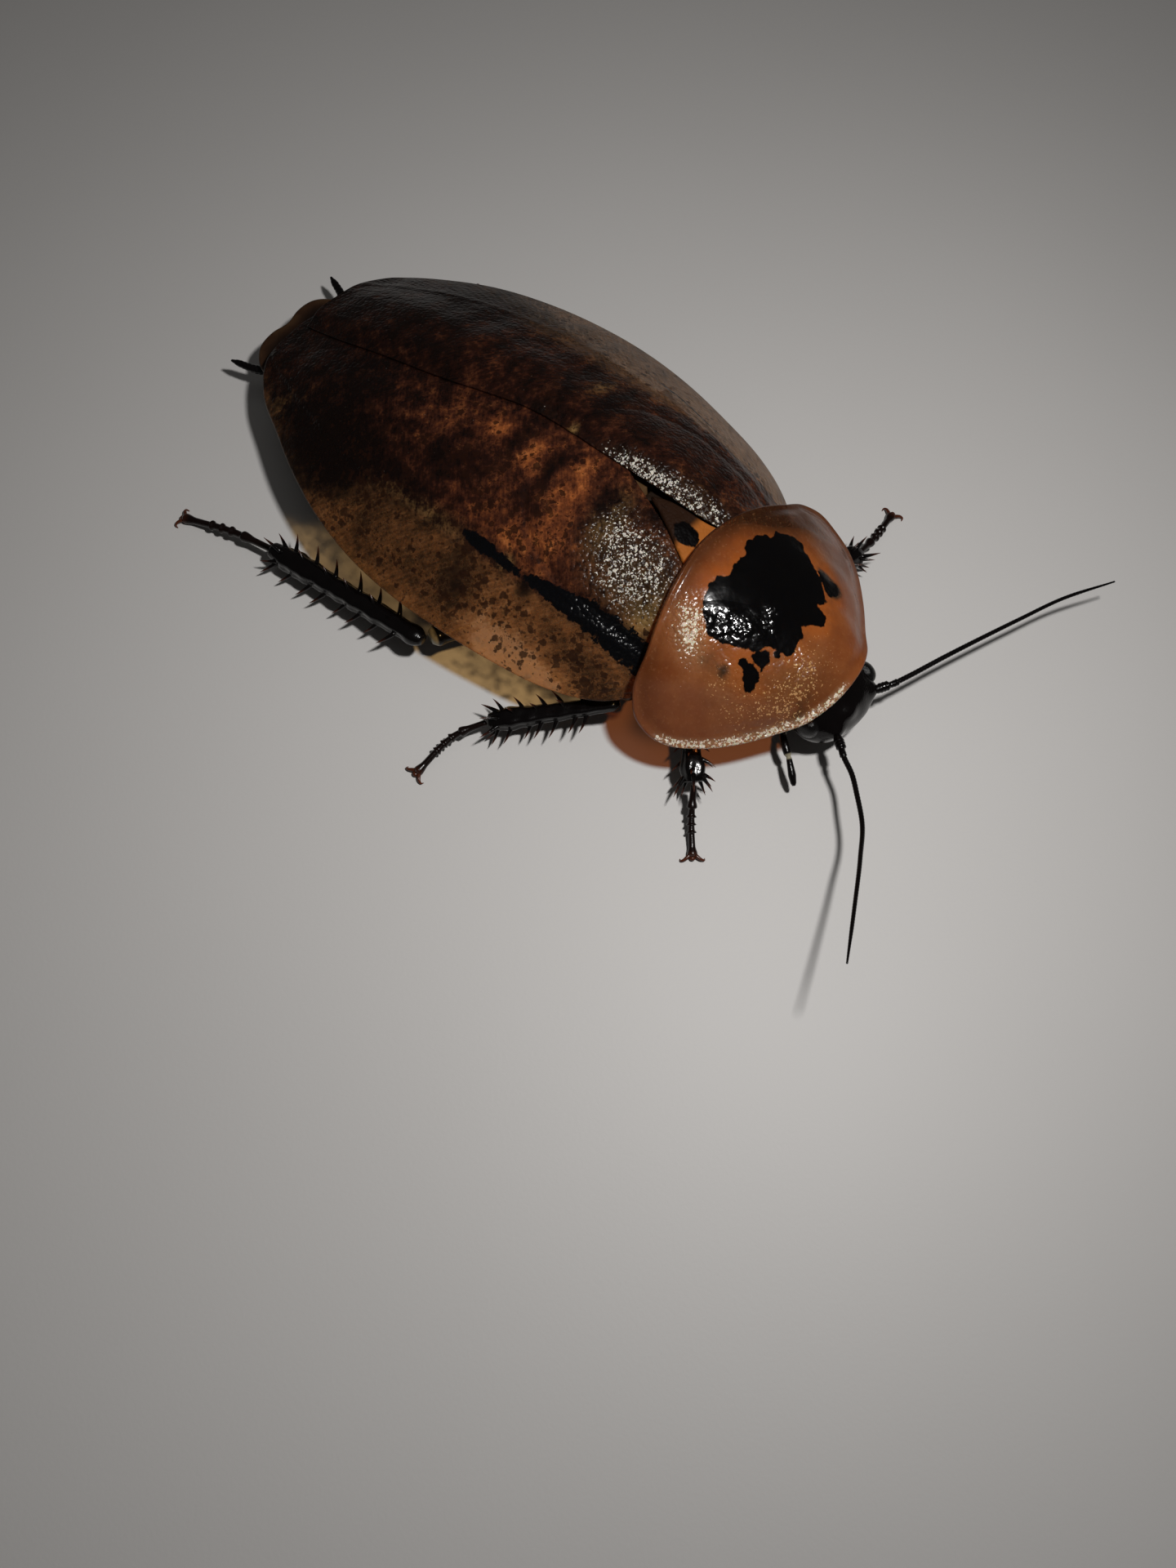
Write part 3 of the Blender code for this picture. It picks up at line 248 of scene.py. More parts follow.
SCUTELLUM_EDGE = [
    (0.5, 15.9), (3.6, 16.4), (2.5, 19.8), (1.3, 24.0), (0.9, 24.6), (0.2, 23.2), (-1.5, 19.6), (-2.6, 16.4),
]
SCUTELLUM_MIDDLE = (0.5, 19.3)
SCUTELLUM_DROP = 0.55
SCUTELLUM_SPOT = (0.15, 20.0, 1.0, 1.25)
PLATE_EDGE = [
    (0, 73.9), (1.9, 74.3), (4.0, 74.1), (5.5, 72.9), (6.3, 71.0), (6.2, 68.4), (5.4, 66.2), (0, 65.4),
]
PLATE_MIDDLE = (-0.9, 70.0)
PLATE_DROP = 1.52

# The trunk under the shields, as stations (y, half width, middle height, lowest height).
THORAX_STATIONS = [
    (6.5, 3.4, 6.7, 5.1), (8.0, 5.6, 7.1, 4.6), (10.5, 7.6, 7.4, 4.4), (14.0, 9.0, 7.6, 4.3),
    (17.0, 9.9, 7.8, 4.3), (21.0, 11.3, 7.6, 4.4), (25.6, 12.6, 7.3, 4.6),
]
ABDOMEN_STATIONS = [
    (25.9, 12.4, 7.0, 4.7), (28.5, 13.3, 6.8, 4.3), (34, 14.4, 6.5, 3.7), (40, 15.0, 6.3, 2.8),
    (46, 14.9, 6.1, 2.4), (52, 14.0, 5.9, 2.3), (57.5, 12.4, 5.6, 2.4), (62.5, 10.3, 5.3, 2.6),
    (67, 7.6, 4.5, 2.7), (70.8, 5.4, 4.0, 2.9),
]
ABDOMEN_SEGMENTS = (30.5, 35.5, 40.5, 45.5, 50.5, 55.5, 60.5, 65.5)
THORAX_SEGMENTS = (12.0, 18.5)
# How far the trunk's back stays below the upper face of the wings and of the shield.
UNDER_WINGS = 1.4
UNDER_WING_ROOTS = 1.75
UNDER_SHIELD = 1.5

# The head, bent down under the front of the pronotum and turned a little towards the animal's right.
HEAD_MIDDLE = (0.3, 2.3, 5.05)
HEAD_SIZE = (4.75, 4.0, 3.0)
HEAD_LEAN = math.radians(28)
HEAD_TURN = math.radians(-6)
HEAD_SQUARENESS = 0.86
HEAD_NARROWING = 0.30
FEELER_SOCKETS = ((3.35, -2.2, 1.6), (-2.35, -2.7, 1.85))
EYE_PLACE = (4.0, -0.55, 1.0)
EYE_SIZE = (1.0, 1.3, 1.35)
MOUTH_START = (0.15, 3.3, 2.22)
MOUTH_AIM = (0.0, 0.35, -0.94)

ANTENNA_RIGHT = [
    (-2.75, -1.05, 5.5), (-3.4, -1.85, 5.7), (-4.1, -2.6, 5.9), (-5.25, -4.3, 6.2), (-6.9, -5.95, 6.7),
    (-8.75, -7.65, 7.2), (-12.5, -9.65, 9.2), (-17.1, -11.8, 11.4), (-22.3, -14.13, 14.0),
]
ANTENNA_LEFT = [
    (3.45, -0.93, 5.5), (4.4, -1.45, 5.5), (5.0, -1.85, 5.55), (6.0, -2.25, 5.5), (11.0, -4.1, 5.4),
    (19.0, -7.25, 5.2), (23.3, -9.1, 5.3), (28.26, -12.05, 5.45),
]
ANTENNA_RADII = [
    (0, 0.4), (0.02, 0.5), (0.05, 0.48), (0.058, 0.28), (0.062, 0.33), (0.085, 0.35), (0.09, 0.25),
    (0.095, 0.27), (0.5, 0.22), (0.85, 0.18), (1.0, 0.09),
]
PALP_RIGHT = [
    (-2.25, 3.6, 1.5), (-4.2, 3.6, 2.6), (-5.4, 2.75, 3.5), (-6.35, 1.4, 3.1), (-6.9, 0.75, 2.9),
    (-7.9, -0.5, 2.2),
]
PALP_LEFT = [(2.55, 3.6, 1.5), (4.3, 4.0, 2.3), (5.1, 3.2, 2.6), (5.2, 1.9, 2.2), (4.9, 0.9, 1.4)]
PALP_RADII = [
    (0, 0.36), (0.15, 0.38), (0.3, 0.4), (0.32, 0.26), (0.36, 0.3), (0.6, 0.4), (0.63, 0.38), (0.66, 0.22),
    (0.7, 0.28), (0.88, 0.38), (0.97, 0.28), (1.0, 0.16),
]
CERCUS = [(4.88, 71.3, 3.25), (6.4, 73.0, 3.35), (7.7, 76.2, 3.7)]
CERCUS_RADII = [(0, 0.38), (0.4, 0.54), (0.85, 0.4), (1, 0.12)]
CERCUS_RINGS = 12

# Each leg: hip and trochanter end the coxa, then knee, ankle, the bend of the tarsus and its toe.
LEGS = {
    "fore_right": [
        (-4.9, 6.6, 3.95), (-2.6, 9.8, 2.4), (-8.9, 11.6, 5.2), (-14.1, 6.7, 3.2), (-16.45, 5.0, 1.1),
        (-19.0, 2.75, 0),
    ],
    "fore_left": [
        (4.9, 6.6, 3.95), (2.6, 9.8, 2.4), (9.2, 11.2, 5.0), (16.7, 9.6, 2.7), (20.3, 9.75, 1.0),
        (24.3, 10.2, 0),
    ],
    "mid_right": [
        (-6.6, 13.6, 3.8), (-3.0, 18.0, 2.35), (-12.7, 16.9, 4.6), (-21.5, 26.05, 2.3), (-24.3, 27.75, 1.2),
        (-29.5, 28.45, 0),
    ],
    "mid_left": [
        (6.6, 13.6, 3.8), (3.0, 18.0, 2.35), (12.8, 19.2, 4.8), (18.4, 31.0, 2.2), (19.5, 34.2, 1.1),
        (21.6, 38.6, 0),
    ],
    "hind_right": [
        (-6.9, 21.5, 3.75), (-3.2, 27.3, 2.1), (-19.7, 36.1, 4.2), (-21.3, 56.2, 2.2), (-22.2, 60.9, 1.3),
        (-24.1, 67.5, 0),
    ],
    "hind_left": [
        (6.9, 21.65, 3.75), (3.2, 27.4, 2.1), (17.2, 35.2, 4.2), (18.6, 54.6, 2.2), (18.9, 58.6, 1.1),
        (18.8, 64.8, 0),
    ],
}
# Half widths: coxa (across, tall), femur (across, tall), tibia (knee, ankle), tarsus.
LEG_SIZES = {
    "fore": {"coxa": (1.6, 1.0), "femur": (1.05, 0.95), "tibia": (0.72, 1.05), "tarsus": 0.46},
    "mid": {"coxa": (1.9, 1.1), "femur": (1.2, 1.0), "tibia": (0.8, 1.0), "tarsus": 0.46},
    "hind": {"coxa": (2.1, 1.15), "femur": (1.4, 1.15), "tibia": (1.15, 1.1), "tarsus": 0.52},
}
LEG_SIDES = 48
COXA_SWELL = [(0, 0.55), (0.12, 0.85), (0.35, 1), (0.6, 0.92), (0.82, 0.7), (0.95, 0.5), (1, 0.32)]
FEMUR_SWELL = [
    (0, 0.42), (0.04, 0.6), (0.09, 0.68), (0.13, 0.6), (0.16, 0.66), (0.35, 0.95), (0.6, 1), (0.82, 0.88),
    (0.93, 0.76), (0.97, 0.8), (1, 0.5),
]
TIBIA_SWELL = [(0, 0.5), (0.04, 0.9), (0.1, 0.86), (0.3, 0.96), (0.6, 0.98), (0.92, 1.06), (1, 0.8)]
TROCHANTER_BEND = 0.95
FEMUR_SHORT_OF_KNEE = 0.82
GAP = 0.3
TARSUS_PARTS = (0.0, 0.34, 0.46, 0.57, 0.68, 1.0)
# Rows of spines on the tibiae: (degrees round the shin from its inner side, count, first, last, length).
SPINE_ROWS = {
    "fore": [
        (20, 3, 0.5, 0.9, 1.5), (-30, 3, 0.5, 0.92, 1.6), (-150, 3, 0.5, 0.92, 1.6), (100, 2, 0.6, 0.85, 1.1),
    ],
    "mid": [
        (15, 5, 0.28, 0.88, 1.7), (-160, 7, 0.24, 0.93, 1.9), (-75, 5, 0.3, 0.88, 1.2), (70, 3, 0.4, 0.8, 1),
    ],
    "hind": [
        (15, 6, 0.18, 0.86, 2), (-160, 8, 0.15, 0.93, 2), (-75, 5, 0.24, 0.86, 1.3), (70, 4, 0.3, 0.8, 1.1),
    ],
}
SPINE_SLANT = 0.6
SPUR_TURNS = (30, 100, 170, 235, 310)
SPUR_PLACE = 0.93
SPUR_LENGTH = 2.0
SPUR_SLANT = 1.5
# The way of a claw from the toe's middle, as (out, ahead).
CLAW_WAY = ((0.08, -0.3), (0.5, 0.1), (0.86, 0.34), (1.1, 0.36), (1.16, 0.12))

# The camera stands above the animal's right front corner, and the lamp just beyond its left shoulder.
CAMERA_PLACE = (-50.58, -44.15, 105.81)
CAMERA_RIGHT = (0.6462, -0.7631, -0.0092)
CAMERA_UP = (0.7103, 0.5970, 0.3730)
CAMERA_LENS = 27.11
FLOOR_REACH = 1500 * MM
LAMP_OFFSET = (45.0, -4.7, 11.5)


class RoachSizes(bpy.types.PropertyGroup):
    """Sizes that change how finely the shells are finished."""

    shield_thickness: FloatProperty(
        name="Shield thickness", description="Thickness of the pronotum",
        default=0.0007, unit="LENGTH", precision=5,
    )
    wing_thickness: FloatProperty(
        name="Wing thickness", description="Thickness of a wing",
        default=0.0005, unit="LENGTH", precision=5,
    )
    vein_height: FloatProperty(
        name="Vein height", description="How far the main veins stand up",
        default=0.00013, unit="LENGTH", precision=5,
    )
    branch_spacing: FloatProperty(
        name="Vein spacing", description="Distance between side veins",
        default=0.0012, unit="LENGTH", precision=5,
    )
    spine_radius: FloatProperty(
        name="Spine radius", description="Radius of a leg spine at its root",
        default=0.0003, unit="LENGTH", precision=5,
    )
    facet_size: FloatProperty(
        name="Eye facet", description="Width of one facet of an eye",
        default=0.00006, unit="LENGTH", precision=6,
    )
    antenna_rings: IntProperty(name="Feeler rings", description="Rings along a feeler", default=78, min=10)


class RoachColours(bpy.types.PropertyGroup):
    """Colours of the animal's horn and membranes, and of the floor."""

    shield: FloatVectorProperty(
        name="Shield", description="Amber of the pronotum",
        default=(0.22, 0.062, 0.016), subtype="COLOR",
    )
    flange: FloatVectorProperty(
        name="Flange", description="Paler outer part of the pronotum",
        default=(0.19, 0.080, 0.046), subtype="COLOR",
    )
    wing_gold: FloatVectorProperty(
        name="Wing gold", description="Olive-gold tints of the wings",
        default=(0.30, 0.19, 0.065), subtype="COLOR",
    )
    horn: FloatVectorProperty(
        name="Horn", description="Black of head, legs and feelers",
        default=(0.002, 0.0015, 0.0015), subtype="COLOR",
    )
    horn_red: FloatVectorProperty(
        name="Red horn", description="Red-brown of claws and spine tips",
        default=(0.12, 0.03, 0.012), subtype="COLOR",
    )
    belly: FloatVectorProperty(
        name="Belly", description="Dark brown of the underside",
        default=(0.024, 0.010, 0.005), subtype="COLOR",
    )
    floor: FloatVectorProperty(
        name="Floor", description="Pale grey of the floor",
        default=(0.60, 0.585, 0.57), subtype="COLOR",
    )


def sizes():
    return bpy.context.scene.roach_sizes


def colours():
    return bpy.context.scene.roach_colours


def smooth(pairs):
    """A smooth function through (place, value) pairs in rising places: cubic pieces that share slopes."""
    place, level = np.array(pairs, float).T
    slope = np.gradient(level, place)

    def value(at):
        at = np.clip(at, place[0], place[-1])
        i = np.clip(np.searchsorted(place, at, side="right") - 1, 0, len(place) - 2)
        step = place[i + 1] - place[i]
        t = (at - place[i]) / step
        rise = (3 * t**2 - 2 * t**3) * (level[i + 1] - level[i])
        lean = (t**3 - 2 * t**2 + t) * step * slope[i] + (t**3 - t**2) * step * slope[i + 1]
        return level[i] + rise + lean

    return value


def run_of(points):
    """Distance along a line of points, from its start."""
    return np.concatenate([[0], np.cumsum(np.linalg.norm(np.diff(points, axis=0), axis=1))])


def smooth_line(points, run, at):
    """Points of a smooth line through the given ones, at the given runs along it."""
    return np.stack([smooth(list(zip(run, axis)))(at) for axis in points.T], axis=-1)


def curve(points, shares):
    """Points of a smooth line through the given ones, at the given shares of its length."""
    points = np.array(points, float)
    run = run_of(points)
    return smooth_line(points, run, np.asarray(shares) * run[-1])


def loop_of(outline, count):
    """A closed smooth outline of `count` points through the given ones."""
    ring = np.array(outline, float)
    ring = np.concatenate([ring[-3:], ring, ring[:4]])
    run = run_of(ring)
    return smooth_line(ring, run, run[3] + (run[-4] - run[3]) * np.arange(count) / count)


def loop(half, count):
    """A closed outline of `count` points from its half at +X, whose ends are on the mid-line."""
    half = np.array(half, float)
    return loop_of(np.concatenate([half, half[-2:0:-1] * (-1, 1)]), count)


def ease(t, start=0.0, run=1.0):
    """Rises smoothly from 0 to 1 while t runs on from the start, and stays level outside."""
    t = np.clip((t - start) / run, 0, 1)
    return t * t * (3 - 2 * t)


def angles(count):
    """Even steps once round a circle."""
    return np.arange(count) * FULL_TURN / count


def squared(wave, roundness):
    """A sine or cosine whose oval is squared by a roundness under 1."""
    return np.sign(wave) * np.abs(wave) ** roundness


def bell(away, width):
    """1 where `away` is nought, falling off on both sides within about the width."""
    return np.exp(-((away / width) ** 2))


def unit(vectors):
    vectors = np.asarray(vectors, float)
    return vectors / np.linalg.norm(vectors, axis=-1, keepdims=True)


def arch(t):
    """How far an arched back has fallen at the share t of its half width: flat on top, then flared."""
    t = np.clip(np.abs(t), 0, 1.02)
    return t**ARCH_POWER * (1 + ARCH_FLARE * (1 - t))


def arched(crest, side, reach):
    """Height over the plan: crest(y) - (crest(y) - side(y)) * arch(x / reach(y))."""
    crest, side, reach = smooth(crest), smooth(side), smooth(reach)
    return lambda x, y: crest(y) - (crest(y) - side(y)) * arch(x / reach(y))


pronotum_top = arched(PRONOTUM_CREST, PRONOTUM_SIDE, PRONOTUM_REACH)
straight_wing_top = arched(WING_CREST, WING_SIDE, WING_REACH)


def sway(y):
    """The folded wings bend a little to the left towards their tips."""
    return TAIL_SWAY * ease(y, SWAY_START, SWAY_RUN)


def wing_top(x, y):
    return straight_wing_top(x - sway(y), y)


def left_inner(y):
    """Where the left wing's inner edge runs."""
    across, along = np.array(LEFT_INNER).T
    return smooth(list(zip(along, across)))(y) + sway(y)


def left_wing_top(x, y):
    """The left wing lies on top, lifted where it crosses the right one."""
    crossing = (1 - ease(x, LEFT_LIFT_FROM, OVERLAP_FADE)) * ease(y, OVERLAP_START, OVERLAP_RISE)
    drop = INNER_DROP * (1 - ease((x - left_inner(y)) / INNER_BEND)) * ease(y, DROP_START, OVERLAP_FADE)
    return wing_top(x, y) + OVERLAP_LIFT * crossing - drop


def right_wing_top(x, y):
    crossing = ease(x, RIGHT_DROP_FROM, OVERLAP_FADE) * ease(y, OVERLAP_START, OVERLAP_RISE)
    return wing_top(x, y) - OVERLAP_LIFT * crossing


def normals_of(top, x, y):
    """Unit normals of the surface z = top(x, y), from its slopes."""
    step = 0.02
    slope_x = (top(x + step, y) - top(x - step, y)) / (2 * step)
    slope_y = (top(x, y + step) - top(x, y - step)) / (2 * step)
    return unit(np.stack([-slope_x, -slope_y, np.ones_like(slope_x)], axis=-1))


def ripple(x, y, length, seed, waves=7):
    """A smooth random relief between about -1 and 1: sines of about one wave length, turned at random."""
    draw = np.random.default_rng(seed)
    total = 0
    ranges = ((0, FULL_TURN), (0, FULL_TURN), (0.7, 1.4))
    for turn, phase, stretch in zip(*[draw.uniform(low, high, waves) for low, high in ranges]):
        along = x * math.cos(turn) + y * math.sin(turn)
        total = total + np.sin(along * FULL_TURN / (length * stretch) + phase)
    return total / math.sqrt(waves)


def distance_to(points, line, closed=False):
    """How far each point lies, in plan, from a line of points."""
    line = np.asarray(line, float)
    ends = np.roll(line, -1, axis=0) if closed else line[1:]
    starts = line if closed else line[:-1]
    nearest = np.full(len(points), 1e9)
    for start, end in zip(starts, ends):
        run = end - start
        t = np.clip(((points - start) @ run) / (run @ run), 0, 1)
        nearest = np.minimum(nearest, np.linalg.norm(points - start - t[:, None] * run, axis=1))
    return nearest


def signed_distance(points, outline):
    """Distance to a closed outline in plan, negative inside it."""
    outline = np.asarray(outline, float)
    inside = np.zeros(len(points), bool)
    for (ax, ay), (bx, by) in zip(outline, np.roll(outline, -1, axis=0)):
        crosses = (ay > points[:, 1]) != (by > points[:, 1])
        where = ax + (points[:, 1] - ay) * (bx - ax) / (by - ay + 1e-12)
        inside ^= crosses & (points[:, 0] < where)
    return np.where(inside, -1, 1) * distance_to(points, outline, True)


def patches(points, table):
    """The sum of soft round patches: strength * exp(-(distance in half widths)^2) for each."""
    total = np.zeros(len(points))
    for x, y, wide, long, turn, strength in table:
        angle = math.radians(turn)
        away = points - (x, y)
        across = away @ (math.cos(angle), math.sin(angle)) / wide
        along = away @ (-math.sin(angle), math.cos(angle)) / long
        total += strength * np.exp(-(across**2 + along**2))
    return total


def grid_faces(rows, columns):
    """Quads of a grid whose columns close into loops."""
    row = np.arange(rows - 1)[:, None] * columns
    j = np.arange(columns)
    k = (j + 1) % columns
    return np.stack([row + j, row + k, row + columns + k, row + columns + j], axis=-1).reshape(-1, 4)


def closed(rings, start=None, end=None):
    """A closed body through rings of points, shut by a fan to a pole at each end: points, quads and fans."""
    count, around = rings.shape[:2]
    start = rings[0].mean(0) if start is None else start
    end = rings[-1].mean(0) if end is None else end
    points = np.concatenate([rings.reshape(-1, 3), [start, end]])
    j = np.arange(around)
    k = (j + 1) % around
    first, last = count * around, (count - 1) * around
    fans = np.concatenate([
        np.stack([np.full(around, first), k, j], axis=1),
        np.stack([np.full(around, first + 1), last + j, last + k], axis=1),
    ])
    return outward(points, grid_faces(count, around), fans)


def over_rings(values, around, poles=(0, 1)):
    """A mask over a closed body: one value for each of its rings, then those of its two poles."""
    return np.concatenate([np.repeat(values, around), poles])


def outward(points, quads, fans):
    """Turns a closed body's faces outwards: its volume, summed over its triangles, must be above nought."""
    triangles = np.concatenate([quads[:, :3], quads[:, [0, 2, 3]], fans])
    a, b, c = (points[corner] for corner in triangles.T)
    volume = np.einsum("ij,ij->i", a - points[0], np.cross(b - points[0], c - points[0])).sum()
    return (points, quads, fans) if volume > 0 else (points, quads[:, ::-1], fans[:, ::-1])


def joined(bodies):
    """Several bodies as one mesh's points, quads and fans."""
    points, quads, fans = zip(*bodies)
    starts = np.cumsum([0, *map(len, points)])
    moved = [[faces + start for faces, start in zip(kind, starts)] for kind in (quads, fans)]
    return (np.concatenate(points), *map(np.concatenate, moved))


def piece(node, body, material, fields=None, flow=None):
    """One finished piece that stands for a solid node, with masks as point attributes and a UV map that
    follows the surface, where the patterns need them."""
    points, quads, fans = body
    mesh = bpy.data.meshes.new(f"{node}_finish")
    mesh.vertices.add(len(points))
    mesh.vertices.foreach_set("co", ((points - BOX_MIDDLE) * MM).astype(np.float32).ravel())
    corners = np.concatenate([quads.ravel(), fans.ravel()]).astype(np.int32)
    starts = np.concatenate([np.arange(len(quads)) * 4, len(quads) * 4 + np.arange(len(fans)) * 3])
    mesh.loops.add(len(corners))
    mesh.loops.foreach_set("vertex_index", corners)
    mesh.polygons.add(len(starts))
    mesh.polygons.foreach_set("loop_start", starts.astype(np.int32))
    for name, values in (fields or {}).items():
        mesh.attributes.new(name, "FLOAT", "POINT").data.foreach_set("value", values.astype(np.float32))
    if flow is not None:
        mesh.uv_layers.new(name="flow").data.foreach_set("uv", flow[corners].astype(np.float32).ravel())
    mesh.update(calc_edges=True)
    mesh.validate()
    mesh.shade_smooth()
    mesh.materials.append(material)
    thing = bpy.data.objects.new(f"{node}_finish", mesh)
    bpy.context.scene.collection.objects.link(thing)
    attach(thing, "root")
    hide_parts(node)
    return thing


class Reading:
    """A value inside a shader: adding to it, multiplying it and so on makes the nodes that do so."""

    def __init__(self, socket):
        self.socket = socket

    def __add__(self, other):
        return reckoned("ADD", self, other)

    def __sub__(self, other):
        return reckoned("SUBTRACT", self, other)

    def __rsub__(self, other):
        return reckoned("SUBTRACT", other, self)

    def __mul__(self, other):
        return reckoned("MULTIPLY", self, other)

    def __rtruediv__(self, other):
        return reckoned("DIVIDE", other, self)

    __radd__ = __add__
    __rmul__ = __mul__


def join(value, socket):
    """Joins a reading to an input, or gives the input a plain value; a colour gets its alpha here."""
    if isinstance(value, Reading):
        socket.id_data.links.new(value.socket, socket)
    else:
        socket.default_value = (*value, 1) if socket.type == "RGBA" else value


def add(kind, inputs, tree=None, **settings):
    """A shader node with its settings and its inputs, in the given tree or in that of its readings."""
    if tree is None:
        tree = next(value.socket.id_data for value in inputs.values() if isinstance(value, Reading))
    node = tree.nodes.new(kind)
    for key, value in settings.items():
        setattr(node, key, value)
    for key, value in inputs.items():
        join(value, node.inputs[key])
    return node


def read(kind, output, inputs, tree=None, **settings):
    """One output of a new shader node."""
    return Reading(add(kind, inputs, tree, **settings).outputs[output])


def reckoned(operation, first, second):
    return read("ShaderNodeMath", 0, {0: first, 1: second}, operation=operation)


def paint(base, share, tone, blend="MIX"):
    """A base colour with a tone laid over it by a share from 0 to 1."""
    inputs = {0: share, 6: base, 7: tone}
    return read("ShaderNodeMix", 2, inputs, data_type="RGBA", blend_type=blend)


def painted(base, coats):
    """A base colour under coats of (share, tone), the last on top."""
    for share, tone in coats:
        base = paint(base, share, tone)
    return base


def noise(where, size, detail=2.0, roughness=0.5):
    """Smooth noise from 0 to 1 whose lumps are about `size` millimetres."""
    inputs = {"Vector": where, "Scale": 1 / size, "Detail": detail, "Roughness": roughness}
    return read("ShaderNodeTexNoise", "Fac", inputs)


def rising(value, low, high):
    """0 below `low`, 1 above `high`, smooth between."""
    inputs = {"Value": value, "From Min": low, "From Max": high}
    return read("ShaderNodeMapRange", "Result", inputs, interpolation_type="SMOOTHSTEP")


def larger(first, second):
    return reckoned("MAXIMUM", first, second)


def weighted(*noises):
    """The sum of noises, each taken from its middle and multiplied by its weight."""
    return sum(value * weight - weight / 2 for value, weight in noises)


def scaled(vector, factors):
    return read("ShaderNodeVectorMath", 0, {0: vector, 1: factors}, operation="MULTIPLY")


def ramp(value, stops):
    """A colour that runs through (place, colour) stops."""
    node = add("ShaderNodeValToRGB", {"Fac": value})
    elements = node.color_ramp.elements
    while len(elements) < len(stops):
        elements.new(0.5)
    for element, (at, tone) in zip(elements, stops):
        element.position = at
        element.color = (*tone, 1)
    return Reading(node.outputs["Color"])


def grouped(name, draw, where, **numbers):
    """The results of a node group, which `draw` fills the first time, from a place and some numbers."""
    tree = bpy.data.node_groups.get(name)
    if tree is None:
        tree = bpy.data.node_groups.new(name, "ShaderNodeTree")
        tree.interface.new_socket("where", in_out="INPUT", socket_type="NodeSocketVector")
        for label in numbers:
            tree.interface.new_socket(label, in_out="INPUT", socket_type="NodeSocketFloat")
        given = tree.nodes.new("NodeGroupInput").outputs
        results = draw(*(Reading(given[label]) for label in ("where", *numbers)))
        for label in results:
            tree.interface.new_socket(label, in_out="OUTPUT", socket_type="NodeSocketFloat")
        wanted = tree.nodes.new("NodeGroupOutput").inputs
        for label, value in results.items():
            join(value, wanted[label])
    node = add("ShaderNodeGroup", {"where": where, **numbers}, node_tree=tree)
    return [Reading(output) for output in node.outputs]


def grain(where, dome, lump):
    """Fine uneven skin: a shade that varies, and a height of small domes, each falling as the square of the
    distance from its middle, on a rough ground."""

    def draw(where, dome, lump):
        away = read("ShaderNodeTexVoronoi", "Distance", {"Vector": where, "Scale": 1 / dome})
        rough = noise(where, dome * 0.625, 3.0)
        return {"shade": noise(where, lump, 3.0), "height": rough * 0.3 - away * away}

    return grouped("horn_grain", draw, where, dome=dome, lump=lump)


def flecks(where, size, amount):
    """Scattered irregular flecks: cells of about one size, each kept or not by a draw against the amount."""

    def draw(where, size, amount):
        warp = read("ShaderNodeTexNoise", "Color", {"Vector": where, "Scale": 2.4, "Detail": 2.0})
        push = read("ShaderNodeVectorMath", 0, {0: warp, "Scale": 0.55}, operation="SCALE")
        moved = read("ShaderNodeVectorMath", 0, {0: where, 1: push}, operation="ADD")
        cells = add("ShaderNodeTexVoronoi", {"Vector": moved, "Scale": 1 / size}).outputs
        lot = read("ShaderNodeSeparateColor", 0, {0: Reading(cells["Color"])})
        reach = (amount - lot) * 0.8 + 0.12
        return {"mask": rising(reach - Reading(cells["Distance"]), 0.0, 0.1)}

    return grouped("flecks", draw, where, size=size, amount=amount)[0]


def finish(name, ior=1.5, specular=0.5, coat=0.0):
    """A new material, its shader, the place on the piece in millimetres, and a reader of masks by name."""
    material = bpy.data.materials.new(name)
    material.use_nodes = True
    tree = material.node_tree
    shader = tree.nodes["Principled BSDF"]
    shader.inputs["IOR"].default_value = ior
    shader.inputs["Specular IOR Level"].default_value = specular
    shader.inputs["Coat Weight"].default_value = coat
    shader.inputs["Coat Roughness"].default_value = 0.05
    coordinate = read("ShaderNodeTexCoord", "Object", {}, tree)
    where = read("ShaderNodeVectorMath", 0, {0: coordinate, "Scale": 1 / MM}, operation="SCALE")

    def mask(label):
        return read("ShaderNodeAttribute", "Fac", {}, tree, attribute_type="GEOMETRY", attribute_name=label)

    return material, shader, where, mask


def dress(shader, base, roughness, height, depth):
    """Gives a shader its colour, its roughness and a relief, whose height 1 stands for `depth` metres."""
    join(base, shader.inputs["Base Color"])
    join(roughness, shader.inputs["Roughness"])
    bump = read("ShaderNodeBump", "Normal", {"Strength": 1.0, "Distance": depth, "Height": height})
    join(bump, shader.inputs["Normal"])


def let_light_through(shader, weight, reach):
    """Light enters the thin horn and leaves it below, reddened: `reach` is in metres."""
    shader.inputs["Subsurface Weight"].default_value = weight
    shader.inputs["Subsurface Radius"].default_value = (1.0, 0.5, 0.22)
    shader.inputs["Subsurface Scale"].default_value = reach


def seen_through(shader, clear, shares, tint):
    """Lets some light straight through each face in the given tint: the first of the shares, times `clear`,
    of what is seen, and the second of the light that falls through, which stands for scattered light too."""
    tree = shader.id_data
    falling = read("ShaderNodeLightPath", "Is Shadow Ray", {}, tree)
    passed = read("ShaderNodeBsdfTransparent", "BSDF", {"Color": tint}, tree)
    share = clear * (falling * (shares[1] - shares[0]) + shares[0])
    inputs = {0: share, 1: Reading(shader.outputs["BSDF"]), 2: passed}
    join(read("ShaderNodeMixShader", "Shader", inputs), tree.nodes["Material Output"].inputs["Surface"])


